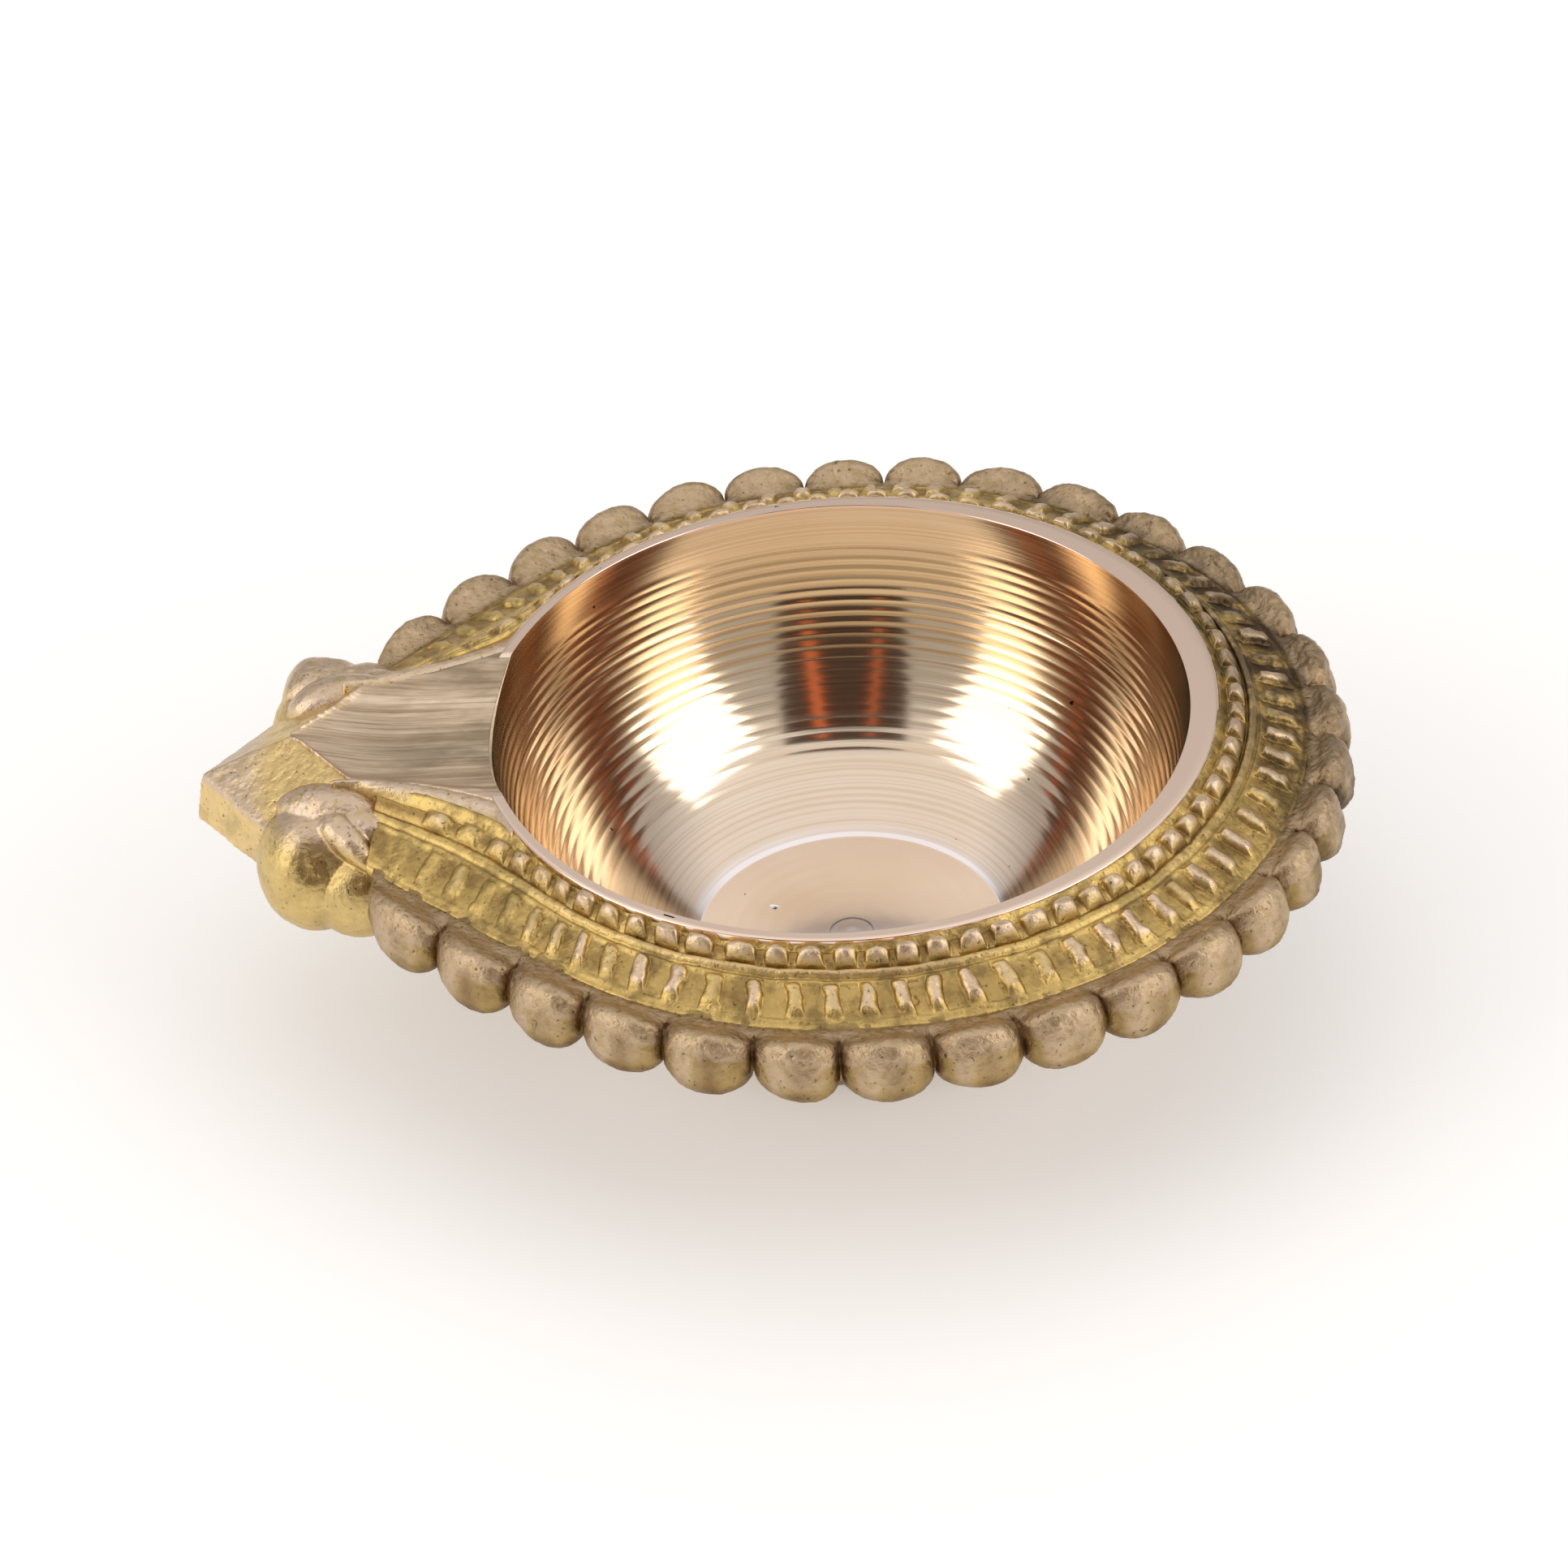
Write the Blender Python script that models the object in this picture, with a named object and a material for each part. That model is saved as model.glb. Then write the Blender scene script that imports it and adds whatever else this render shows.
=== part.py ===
"""A small cast-brass oil lamp (diya): a turned oil bowl on a foot, a sloping collar with a beaded
row, a plain ridge, a ribbed row and a scalloped edge, and a wick spout between two necks that end
in outward-turned bird heads, with a pointed nose in front. Metres, +Z up, spout along -X."""

import math

import bmesh
import bpy
from mathutils import Vector

for old in list(bpy.data.objects):
    bpy.data.objects.remove(old, do_unlink=True)

MM = 0.001

# Overall sizes
RIM_HEIGHT = 28.6 * MM          # table to the flat rim of the bowl
RIM_INNER_R = 30.0 * MM         # mouth of the bowl
LAND_WIDTH = 0.8 * MM           # flat turned land around the mouth
BOWL_DEPTH = 24.6 * MM          # rim to the inside floor
FLOOR_R = 13.5 * MM             # flat inside floor
BOWL_WALL = 1.1 * MM
COLLAR_WIDTH = 11.65 * MM       # base curve of the collar to the tips of the scallops

# Fits
GAP = 0.3 * MM                  # clearance left between pieces that touch

# Bowl curve: an ellipse stretch between these two angles, measured from the horizontal
WALL_TOP_ANGLE = math.radians(6)
WALL_FLOOR_ANGLE = math.radians(72)
BOWL_SEGMENTS = 72
WALL_STEPS = 10

# Foot
FOOT_R = 16.0 * MM
FOOT_LIP = 0.9 * MM             # how far the lip stands up around the bottom of the bowl
FOOT_LIP_WALL = 1.5 * MM

# Collar rows. A row is placed by its share of the collar width: 0 at the base curve, 1 at the tips.
COLLAR_BASE_R = RIM_INNER_R + LAND_WIDTH + 0.15 * MM
BASE_SHIFT = 0.4 * MM           # how far the base curve's centre lies to +X of the bowl's axis
TIP_SHIFT = 1.5 * MM            # the same for the scallop tips
END_ANGLE_BASE = math.radians(167.3)
END_ANGLE_TIP = math.radians(154.7)
FLARE_BASE = 7.6 * MM           # how far the base curve has moved out where it reaches the neck
FLARE_TIP = 3.4 * MM
FLARE_START_BASE = math.radians(140)
FLARE_START_TIP = math.radians(118)
FLARE_POWER_BASE = 3.0          # the base curve leaves the bowl late and sharply, the tips early
FLARE_POWER_TIP = 2.0
FAN_START = 0.6                 # share of the turn after which the rows fan out

COLLAR_TOP = [(0.03, 1.3), (0.27, 2.5), (0.54, 4.35)]       # (share, mm below the rim)
COLLAR_THICK = [3.1, 2.6, 1.9]                              # mm, at the same three places
COLLAR_STATIONS = 72

LOBES = 30
LOBE_STATIONS = 6               # per lobe
LOBE_NECK = 0.8                 # size of a lobe's section at the crease, as a share of its middle
BEADS = 66                      # beads in the inner row, and ribs in the outer one
BEAD_R = 0.68 * MM
BEAD_SHARE = 0.113
RIDGE_R = 0.42 * MM
RIDGE_SHARE = 0.212
RIDGE_BELOW_BEAD = 0.85 * MM
RIB_INNER_SHARE = 0.275
RIB_OUTER_SHARE = 0.53
RIB_RISE = 0.5 * MM

# Spout. Each REACH is how far a place lies beyond the mouth of the bowl, towards -X.
MOUTH_HALF = 9.8 * MM           # half width of the dip where the channel cuts the bowl's rim
CHANNEL_DEPTH = 1.8 * MM
CHANNEL_THICK = 2.2 * MM
WAIST_REACH = 11.3 * MM         # narrowest place of the channel
WAIST_HALF = 6.5 * MM
V_TIP_REACH = 16.7 * MM         # point of the channel's V-shaped end
NECK_START_REACH = -0.2 * MM
NECK_END_SHORT = 4.0 * MM       # the neck ends this far before the head's centre
NECK_DROP = 0.1 * MM            # crest of the neck below the rim
NECK_HEIGHT = 5.0 * MM

HEAD_CLEAR = 0.9 * MM           # from the back of the head to the end of the collar
HEAD_INSET = 2.1 * MM           # head's centre inside the outer corner of the collar's end
HEAD_HALF = (4.6 * MM, 4.5 * MM, 4.2 * MM)
HEAD_BELOW = 6.0 * MM           # centre of the head below the rim
THROAT_R = 2.0 * MM             # the short throat that joins the head to the neck
BEAK_TIP = (4.8 * MM, 2.6 * MM, 3.9 * MM)     # behind the head's centre, outwards, below the rim
BEAK_R = 1.9 * MM

NOSE_REACH = 26.0 * MM          # tip of the nose
NOSE_DROP = 6.0 * MM            # rim to the lower edge of the nose's sloping top
NOSE_BOTTOM = 9.0 * MM          # rim to the underside of the nose
NOSE_SLOPE = 0.85               # half width gained for each length back from the tip

COLOURS = {
    "polished": (0.74, 0.48, 0.27), "cast": (0.56, 0.43, 0.18), "dull": (0.45, 0.36, 0.20),
    "brushed": (0.52, 0.42, 0.29),
}


def add_object(name, verts, faces, look, smooth=True):
    """One closed named mesh with its own brass material."""
    mesh = bpy.data.meshes.new(name)
    mesh.from_pydata([tuple(v) for v in verts], [], faces)
    work = bmesh.new()
    work.from_mesh(mesh)
    bmesh.ops.recalc_face_normals(work, faces=work.faces)
    work.to_mesh(mesh)
    work.free()
    obj = bpy.data.objects.new(name, mesh)
    bpy.context.scene.collection.objects.link(obj)
    if look:
        obj.data.materials.append(brass(name, look))
    for polygon in mesh.polygons:
        polygon.use_smooth = smooth
    return obj


def brass(name, look):
    material = bpy.data.materials.new(name + "_brass")
    material.use_nodes = True
    shader = material.node_tree.nodes["Principled BSDF"]
    shader.inputs["Base Color"].default_value = (*COLOURS[look], 1)
    shader.inputs["Metallic"].default_value = 1.0
    shader.inputs["Roughness"].default_value = 0.18 if look == "polished" else 0.42
    return material


def revolve(name, profile, look):
    """Turns (radius, height) points about Z. The first and last points lie on the axis."""
    verts = [(0, 0, profile[0][1])]
    for radius, height in profile[1:-1]:
        for k in range(BOWL_SEGMENTS):
            a = 2 * math.pi * k / BOWL_SEGMENTS
            verts.append((radius * math.cos(a), radius * math.sin(a), height))
    verts.append((0, 0, profile[-1][1]))
    rings = len(profile) - 2
    faces = []
    for k in range(BOWL_SEGMENTS):
        n = (k + 1) % BOWL_SEGMENTS
        faces.append((0, 1 + n, 1 + k))
        for ring in range(rings - 1):
            a, b = 1 + ring * BOWL_SEGMENTS, 1 + (ring + 1) * BOWL_SEGMENTS
            faces.append((a + k, a + n, b + n, b + k))
        last = 1 + (rings - 1) * BOWL_SEGMENTS
        faces.append((last + k, last + n, len(verts) - 1))
    return add_object(name, verts, faces, look)


def loft(name, sections, look, smooth=True):
    """Joins equal-length closed sections in order and caps both ends."""
    count = len(sections[0])
    verts = [point for section in sections for point in section]
    faces = []
    for s in range(len(sections) - 1):
        for k in range(count):
            n = (k + 1) % count
            a, b = s * count, (s + 1) * count
            faces.append((a + k, a + n, b + n, b + k))
    faces.append(tuple(range(count)))
    faces.append(tuple(range(len(verts) - count, len(verts))))
    return add_object(name, verts, faces, look, smooth)


def mix(a, b, share):
    return a + (b - a) * share


def ring_point(share, turn, below):
    """A point of the collar: share of its width, turn from -1 to 1 along it, depth below the rim."""
    end = mix(END_ANGLE_BASE, END_ANGLE_TIP, share)
    start = mix(FLARE_START_BASE, FLARE_START_TIP, share)
    # Rows stay square to the rim around the bowl, and only fan out beside the spout.
    fan = max(0.0, (abs(turn) - FAN_START) / (1 - FAN_START)) ** 2
    angle = abs(turn) * END_ANGLE_TIP + (end - END_ANGLE_TIP) * fan
    radius = COLLAR_BASE_R + COLLAR_WIDTH * share
    flare = max(0.0, (angle - start) / (end - start))
    radius += mix(FLARE_BASE, FLARE_TIP, share) * flare ** mix(FLARE_POWER_BASE, FLARE_POWER_TIP, share)
    x = mix(BASE_SHIFT, TIP_SHIFT, share) + radius * math.cos(angle)
    return Vector((x, math.copysign(radius * math.sin(angle), turn), RIM_HEIGHT - below))


def collar_top(share):
    """Depth of the collar's upper face below the rim."""
    for (s0, d0), (s1, d1) in zip(COLLAR_TOP, COLLAR_TOP[1:]):
        if share <= s1 or (s1, d1) == COLLAR_TOP[-1]:
            return mix(d0, d1, (share - s0) / (s1 - s0)) * MM


def turns(count):
    return [-1 + 2 * k / count for k in range(count + 1)]


# Bowl and foot

def wall_point(angle, grow):
    """A point of the bowl's wall curve, grown outwards: (radius, depth below the rim)."""
    top, low = WALL_TOP_ANGLE, WALL_FLOOR_ANGLE
    half_r = (RIM_INNER_R - FLOOR_R) / (math.cos(top) - math.cos(low))
    half_d = BOWL_DEPTH / (math.sin(low) - math.sin(top))
    middle_r = RIM_INNER_R - half_r * math.cos(top)
    middle_d = half_d * math.sin(top)
    return (middle_r + (half_r + grow) * math.cos(angle),
            (half_d + grow) * math.sin(angle) - middle_d)


def bowl_profile():
    angles = [mix(WALL_TOP_ANGLE, WALL_FLOOR_ANGLE, k / WALL_STEPS) for k in range(WALL_STEPS + 1)]
    inside = [wall_point(a, 0) for a in reversed(angles)]
    outside = [wall_point(a, BOWL_WALL) for a in angles[1:]]
    land = [(RIM_INNER_R + LAND_WIDTH, 0)]
    points = [(0, BOWL_DEPTH)] + inside + land + outside + [(0, outside[-1][1])]
    return [(r, RIM_HEIGHT - d) for r, d in points], outside[-1]


profile, (base_r, base_depth) = bowl_profile()
bowl = revolve("bowl", profile, "polished")

foot_top = RIM_HEIGHT - base_depth - GAP
# The lip leans out with the bowl's wall, so its inner face clears the wall all the way up.
lip_angle = WALL_FLOOR_ANGLE - math.radians(6)
lip_r = wall_point(lip_angle, BOWL_WALL)[0] + GAP
revolve("foot", [
    (0, 0), (FOOT_R, 0), (FOOT_R + 0.3 * MM, 0.5 * MM), (lip_r + FOOT_LIP_WALL, foot_top + FOOT_LIP),
    (lip_r, foot_top + FOOT_LIP), (base_r + GAP, foot_top), (0, foot_top),
], "dull")

waist_x = RIM_INNER_R + WAIST_REACH
v_tip_x = RIM_INNER_R + V_TIP_REACH
collar_end = ring_point(COLLAR_TOP[-1][0], 1, 0)
head_x = HEAD_HALF[0] + HEAD_CLEAR - collar_end.x
head_y = collar_end.y - HEAD_INSET
neck_end_x = head_x - NECK_END_SHORT

# The channel's floor is part of a cylinder along X, which also dips the bowl's rim.
channel_r = (MOUTH_HALF ** 2 + CHANNEL_DEPTH ** 2) / (2 * CHANNEL_DEPTH)


def channel_below(y):
    """Depth of the channel's floor below the rim at this distance from its middle."""
    return CHANNEL_DEPTH - (channel_r - math.sqrt(channel_r ** 2 - y * y))


def add_cutter():
    steps = 24
    half = MOUTH_HALF * 1.05
    across = [mix(-half, half, k / steps) for k in range(steps + 1)]
    outline = [(y, RIM_HEIGHT - channel_below(y)) for y in across]
    outline += [(half, RIM_HEIGHT + 4 * MM), (-half, RIM_HEIGHT + 4 * MM)]
    ends = [[(x, y, z) for y, z in outline] for x in (-RIM_INNER_R * 1.15, -RIM_INNER_R * 0.8)]
    cutter = loft("channel_cutter", ends, None, False)
    cutter.hide_render = True
    cutter.display_type = "WIRE"
    return cutter


notch = bowl.modifiers.new("spout dip", "BOOLEAN")
notch.operation = "DIFFERENCE"
notch.solver = "EXACT"
notch.object = add_cutter()


# Collar and its rows

def collar_section(turn):
    top = [ring_point(s, turn, d * MM) for s, d in COLLAR_TOP]
    under = [ring_point(s, turn, (d + t) * MM) for (s, d), t in zip(COLLAR_TOP, COLLAR_THICK)]
    return top + under[::-1]


loft("collar", [collar_section(t) for t in turns(COLLAR_STATIONS)], "cast")


def round_section(share, below, radius, turn, sides=6):
    section = []
    for k in range(sides):
        a = 2 * math.pi * k / sides
        place = share + radius * math.cos(a) / COLLAR_WIDTH
        section.append(ring_point(place, turn, below - radius * math.sin(a)))
    return section


bead_below = collar_top(BEAD_SHARE) - BEAD_R - GAP
bead_sections = []
for turn in turns(BEADS * 3):
    swell = (1, 1, 0.62)[round((turn + 1) * BEADS * 3 / 2) % 3]
    bead_sections.append(round_section(BEAD_SHARE, bead_below, BEAD_R * swell, turn))
loft("bead_row", bead_sections, "cast")

ridge_below = bead_below + RIDGE_BELOW_BEAD
loft("ridge_row", [round_section(RIDGE_SHARE, ridge_below, RIDGE_R, t) for t in turns(96)], "cast")


def rib_section(turn, raised):
    middle = mix(RIB_INNER_SHARE, RIB_OUTER_SHARE, 0.5)
    under = [(s, collar_top(s) - GAP) for s in (RIB_OUTER_SHARE, RIB_INNER_SHARE)]
    rise = RIB_RISE if raised else 0
    base = 0.5 * MM
    top = [(s, collar_top(s) - GAP - base - rise) for s in (RIB_INNER_SHARE, middle, RIB_OUTER_SHARE)]
    return [ring_point(s, turn, d) for s, d in top + under]


rib_sections = [
    rib_section(turn, k % 4 in (0, 1)) for k, turn in enumerate(turns(BEADS * 4))
]
loft("rib_row", rib_sections, "cast")

# Section of a lobe at its middle: (share, mm below the rim), from the inner foot over the crest.
LOBE_SECTION = [
    (0.57, 3.9), (0.66, 3.4), (0.75, 2.7), (0.86, 2.7), (0.96, 3.8), (1.0, 5.6), (0.96, 7.5),
    (0.84, 8.8), (0.70, 8.2), (0.57, 6.8),
]
LOBE_HEART = (0.62, 5.6)


def lobe_section(turn):
    """The section shrinks towards its heart at each crease, as between two round lobes."""
    phase = (turn + 1) * LOBES / 2 % 1
    size = LOBE_NECK + (1 - LOBE_NECK) * math.sqrt(max(0.0, 1 - (2 * phase - 1) ** 2))
    points = []
    for share, below in LOBE_SECTION:
        if share > LOBE_HEART[0]:
            share = mix(LOBE_HEART[0], share, size)
            below = mix(LOBE_HEART[1], below, size)
        points.append(ring_point(share, turn, below * MM))
    return points


loft("lobe_rim", [lobe_section(t) for t in turns(LOBES * LOBE_STATIONS)], "cast")


# Spout channel

def half_width(x):
    """Half width of the channel at a distance from the bowl's axis."""
    start = RIM_INNER_R
    if x <= waist_x:
        share = (x - start) / (waist_x - start)
        return mix(WAIST_HALF, MOUTH_HALF, (1 - share) ** 1.6)
    return max(0.25 * MM, WAIST_HALF * (v_tip_x - x) / (v_tip_x - waist_x))


def channel():
    """Floor plate of the channel. Its inner end follows the round outside of the bowl."""
    across = [-1 + 2 * k / 10 for k in range(11)]
    bowl_r = RIM_INNER_R + BOWL_WALL + GAP
    first_half = half_width(bowl_r * math.cos(math.asin(0.32)))
    start = [math.sqrt(bowl_r ** 2 - (c * first_half) ** 2) for c in across]
    sections = []
    middle = [mix(RIM_INNER_R, waist_x, share) for share in (0.35, 0.65, 0.85, 1)]
    point = [mix(waist_x, v_tip_x, share) for share in (0.35, 0.7, 1)]
    for x in [None] + middle + point:
        top, under = [], []
        half = first_half if x is None else half_width(x)
        for k, c in enumerate(across):
            place = start[k] if x is None else x
            lift = 0 if x is None or x < waist_x else (x - waist_x) / (v_tip_x - waist_x)
            below = mix(channel_below(c * half), 0.35 * MM, lift * 0.8)
            top.append((-place, c * half, RIM_HEIGHT - below))
            under.append((-place, c * half, RIM_HEIGHT - CHANNEL_DEPTH - CHANNEL_THICK))
        sections.append(top + under[::-1])
    return loft("wick_channel", sections, "brushed")


channel()


# Necks, heads and nose. Side -1 lies towards -Y and side 1 towards +Y.

def neck(name, side):
    """The raised wall between channel and collar, from the bowl's rim to the back of the head."""
    sections = []
    for k in range(11):
        x = mix(RIM_INNER_R + NECK_START_REACH, neck_end_x, k / 10)
        beside_bowl = math.sqrt(max(0.0, (RIM_INNER_R + BOWL_WALL + GAP) ** 2 - x * x))
        inner = max(half_width(x) + GAP, beside_bowl)
        outer = outer_edge(x) - GAP
        middle = (inner + outer) / 2
        low = RIM_HEIGHT - NECK_HEIGHT
        crest = RIM_HEIGHT - NECK_DROP
        rounding = min(0.5 * MM, (outer - inner) * 0.25)
        shape = [(inner, low), (inner, crest - 2 * rounding), (inner + rounding, crest),
                 (middle, crest), (outer - rounding, crest - rounding), (outer, crest - 1.6 * MM),
                 (outer, low)]
        sections.append([(-x, side * y, z) for y, z in shape])
    return loft(name, sections, "cast")


def outer_edge(x):
    """Distance from the middle plane to the collar's base curve, beside the channel."""
    low, high = 0.5, 1.0
    for _ in range(40):
        turn = (low + high) / 2
        if -ring_point(COLLAR_TOP[0][0], turn, 0).x < x:
            low = turn
        else:
            high = turn
    return ring_point(COLLAR_TOP[0][0], low, 0).y


def head(name, side):
    """A round head with a beak that points back and outwards."""
    centre = Vector((-head_x, side * head_y, RIM_HEIGHT - HEAD_BELOW))
    back, out, below = BEAK_TIP
    tip = Vector((back - head_x, side * (head_y + out), RIM_HEIGHT - below))
    work = bmesh.new()
    made = bmesh.ops.create_uvsphere(work, u_segments=20, v_segments=12, radius=1)["verts"]
    for vert in made:
        vert.co = centre + Vector([a * b for a, b in zip(vert.co, HEAD_HALF)])
    mesh = bpy.data.meshes.new(name)
    work.to_mesh(mesh)
    work.free()
    for polygon in mesh.polygons:
        polygon.use_smooth = True
    obj = bpy.data.objects.new(name, mesh)
    bpy.context.scene.collection.objects.link(obj)
    mesh.materials.append(brass(name, "cast"))

    root = centre + Vector((1.2 * MM, side * 0.4 * MM, 1.3 * MM))
    beak = taper(name + "_beak_helper", root, tip,
                 [(0, BEAK_R), (0.45, BEAK_R * 0.85), (0.8, BEAK_R * 0.4), (1, BEAK_R * 0.08)])
    throat_y = (half_width(neck_end_x) + outer_edge(neck_end_x)) / 2
    throat_start = Vector((-neck_end_x - GAP - THROAT_R, side * (throat_y + 0.8 * MM),
                           RIM_HEIGHT - NECK_DROP - THROAT_R - 0.4 * MM))
    throat = taper(name + "_throat_helper", throat_start, centre,
                   [(0, THROAT_R * 0.8), (0.3, THROAT_R * 1.2), (0.7, THROAT_R * 1.6), (1, THROAT_R)])
    for helper in (beak, throat):
        union = obj.modifiers.new("join", "BOOLEAN")
        union.operation = "UNION"
        union.solver = "EXACT"
        union.object = helper
    return obj


def taper(name, start, end, sizes):
    """A helper: round sections of the given (share, radius) from start to end."""
    along = (end - start).normalized()
    flat = along.cross(Vector((0, 0, 1))).normalized()
    up = flat.cross(along)
    rings = []
    for share, radius in sizes:
        rings.append([start.lerp(end, share) + (flat * math.cos(a) + up * math.sin(a)) * radius
                      for a in [math.pi * k / 5 for k in range(10)]])
    helper = loft(name, rings, None)
    helper.hide_render = True
    helper.display_type = "WIRE"
    return helper


for label, side in (("left", -1), ("right", 1)):
    neck("neck_" + label, side)
    head("head_" + label, side)


def nose():
    """A chevron in front of the channel's tip: it slopes down to a blunt upright front edge."""
    tip = RIM_INNER_R + NOSE_REACH
    wide = head_y - HEAD_HALF[1] - 2 * GAP      # up to the inner sides of the heads
    rows = [
        # (x at the middle, x at the sides, half width, depth of the top below the rim)
        (v_tip_x + 0.5 * MM, waist_x + 2.2 * MM, 5.2 * MM, 0.5 * MM),
        (v_tip_x + 3.2 * MM, waist_x + 3.4 * MM, wide - 0.4 * MM, 1.9 * MM),
        (tip - 1.6 * MM, tip - 1.6 * MM - wide, wide - 0.5 * MM, NOSE_DROP),
        (tip, tip - wide, wide * NOSE_SLOPE, NOSE_BOTTOM - 0.6 * MM),
    ]
    sections = []
    for c in (-1, -0.5, 0, 0.5, 1):
        top = [(-mix(mid, edge, abs(c)), c * half, RIM_HEIGHT - below)
               for mid, edge, half, below in rows]
        front, back = rows[-1], rows[0]
        under = [
            (-mix(front[0], front[1], abs(c)), c * front[2], RIM_HEIGHT - NOSE_BOTTOM),
            (-mix(back[0], back[1], abs(c)), c * back[2], RIM_HEIGHT - NOSE_BOTTOM + 1.5 * MM),
        ]
        sections.append(top + under)
    return loft("nose", sections, "cast", False)


nose()
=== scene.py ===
"""Looks of a small cast-brass oil lamp: a lathe-turned bowl in a sand-cast, beaded and scalloped
collar, with a wick channel between two bird-headed necks and a pointed nose. Points are in
millimetres until they become meshes; +Z up, spout along -X, near side at -Y."""

import math

import bpy
import numpy as np
from mathutils import Matrix, Vector


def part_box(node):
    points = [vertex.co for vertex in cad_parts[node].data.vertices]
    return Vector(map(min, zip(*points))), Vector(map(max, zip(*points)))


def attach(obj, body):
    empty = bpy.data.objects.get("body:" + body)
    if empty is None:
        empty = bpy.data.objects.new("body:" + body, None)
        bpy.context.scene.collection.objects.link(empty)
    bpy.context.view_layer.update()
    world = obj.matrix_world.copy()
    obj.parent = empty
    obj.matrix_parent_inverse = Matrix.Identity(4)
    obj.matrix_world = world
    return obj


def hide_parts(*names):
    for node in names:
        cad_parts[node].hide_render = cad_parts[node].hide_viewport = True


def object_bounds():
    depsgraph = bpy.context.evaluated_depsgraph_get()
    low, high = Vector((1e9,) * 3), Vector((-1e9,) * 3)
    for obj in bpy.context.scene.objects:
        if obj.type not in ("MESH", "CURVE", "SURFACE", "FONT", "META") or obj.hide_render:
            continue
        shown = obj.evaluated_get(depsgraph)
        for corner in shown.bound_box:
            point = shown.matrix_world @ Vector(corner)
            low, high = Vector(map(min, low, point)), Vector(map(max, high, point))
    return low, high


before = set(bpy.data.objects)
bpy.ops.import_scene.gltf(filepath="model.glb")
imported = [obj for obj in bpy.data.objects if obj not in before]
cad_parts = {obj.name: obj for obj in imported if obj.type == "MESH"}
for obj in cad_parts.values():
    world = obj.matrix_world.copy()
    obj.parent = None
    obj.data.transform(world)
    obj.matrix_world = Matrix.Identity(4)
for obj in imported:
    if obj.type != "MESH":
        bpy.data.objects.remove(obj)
cad_low, cad_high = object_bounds()

MM = 0.001
TAU = 2 * math.pi

# ---------------------------------------------------------------- sizes, in millimetres
# The rim's height, the mouth and the spout's two points come from the frame. The others repeat
# the CAD's values, except END_FAR: the casting's far end stops nearer the spout than its near end.
CAD_LAND = 0.8
RIM = round(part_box("bowl")[1].z / MM, 3)
MOUTH_R = round(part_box("bowl")[1].x / MM, 3) - CAD_LAND
V_TIP_X = round(-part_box("wick_channel")[0].x / MM, 3)
NOSE_TIP = round(-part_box("nose")[0].x / MM, 3)
BOWL_DEPTH = 24.6
FLOOR_R = 13.5
BOWL_WALL = 1.1
WALL_TOP, WALL_FLOOR = math.radians(6), math.radians(72)
BASE_R = MOUTH_R + 0.95         # the ring's base curve, at share 0 of its width
RING_WIDTH = 11.65
BASE_SHIFT, TIP_SHIFT = 0.4, 1.5
END_BASE, END_NEAR, END_FAR = math.radians(167.3), math.radians(154.7), math.radians(159.4)
FLARE_START_BASE, FLARE_START_TIP = math.radians(140), math.radians(118)
FLARE_BASE, FLARE_TIP = 7.6, 3.4
FLARE_POWER_BASE, FLARE_POWER_TIP = 3.0, 2.0
FAN_START = 0.6
LOBES, BEADS = 30, 66
MOUTH_HALF = 9.8
CHANNEL_DEPTH = 1.8
WAIST_X, WAIST_HALF = MOUTH_R + 11.3, 6.5
HEAD_AT = np.array((2.1 - V_TIP_X, -8.8, RIM))      # above the near head's middle

# The casting's own unevenness
UNEVEN_TOWARDS = math.radians(15)       # where the inner rows sit furthest from the mouth
ROWS_OUT, ROWS_IN = 1.55, 0.25
LAND_WIDTH, LAND_EXTRA = 0.95, 1.60
FLAT_EDGE, FLAT_AT, FLAT_REACH = 0.8, 42, 34        # mm, degrees, degrees
LOBE_DRIFT, DRIFT_AT, DRIFT_REACH = 4.4, 12, 62     # degrees

BOX_LOW, BOX_HIGH = np.array(cad_low) / MM, np.array(cad_high) / MM
BOX_HIGH[2] = RIM

rng = np.random.default_rng(4)


# ---------------------------------------------------------------- small maths
def mix(a, b, t):
    return a + (b - a) * t


def smooth(a, b, x):
    t = np.clip((x - a) / (b - a), 0, 1)
    return t * t * (3 - 2 * t)


def bump(x, centre, half):
    """A smooth hill: 1 at the centre and 0 beyond half."""
    return 1 - smooth(0, half, np.abs(x - centre))


HASH_STEPS = (374761393, 668265263, 2147483647)
HASH_MIX = 1274126177
WORD = 0xFFFFFFFF


def noise(points, size, seed=0):
    """Value noise from -1 to 1 with features about size millimetres across."""
    q = np.asarray(points, float) / size + seed * 17.31
    cell = np.floor(q).astype(np.int64)
    f = q - cell
    f = f * f * (3 - 2 * f)
    total = np.zeros(q.shape[:-1])
    for corner in range(8):
        d = [(corner >> k) & 1 for k in range(3)]
        i = [cell[..., k] + d[k] for k in range(3)]
        h = (sum(a * b for a, b in zip(i, HASH_STEPS)) + seed * HASH_MIX) & WORD
        h = ((h ^ (h >> 13)) * HASH_MIX) & WORD
        h = h ^ (h >> 16)
        weight = 1.0
        for k in range(3):
            weight = weight * (f[..., k] if d[k] else 1 - f[..., k])
        total += weight * (h / WORD * 2 - 1)
    return total


def fractal(points, size, seed=0, octaves=3):
    total, weight = 0, 1.0
    for k in range(octaves):
        total = total + noise(points, size / 2 ** k, seed + k) * weight
        weight *= 0.55
    return total


def unevenness(angle):
    """1 where the casting is most uneven, falling to 0 on the other side of the ring."""
    return ((1 + np.cos(angle - UNEVEN_TOWARDS)) / 2) ** 3


def xyz(x, y, z):
    return np.stack(np.broadcast_arrays(x, y, z), -1).astype(float)


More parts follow.
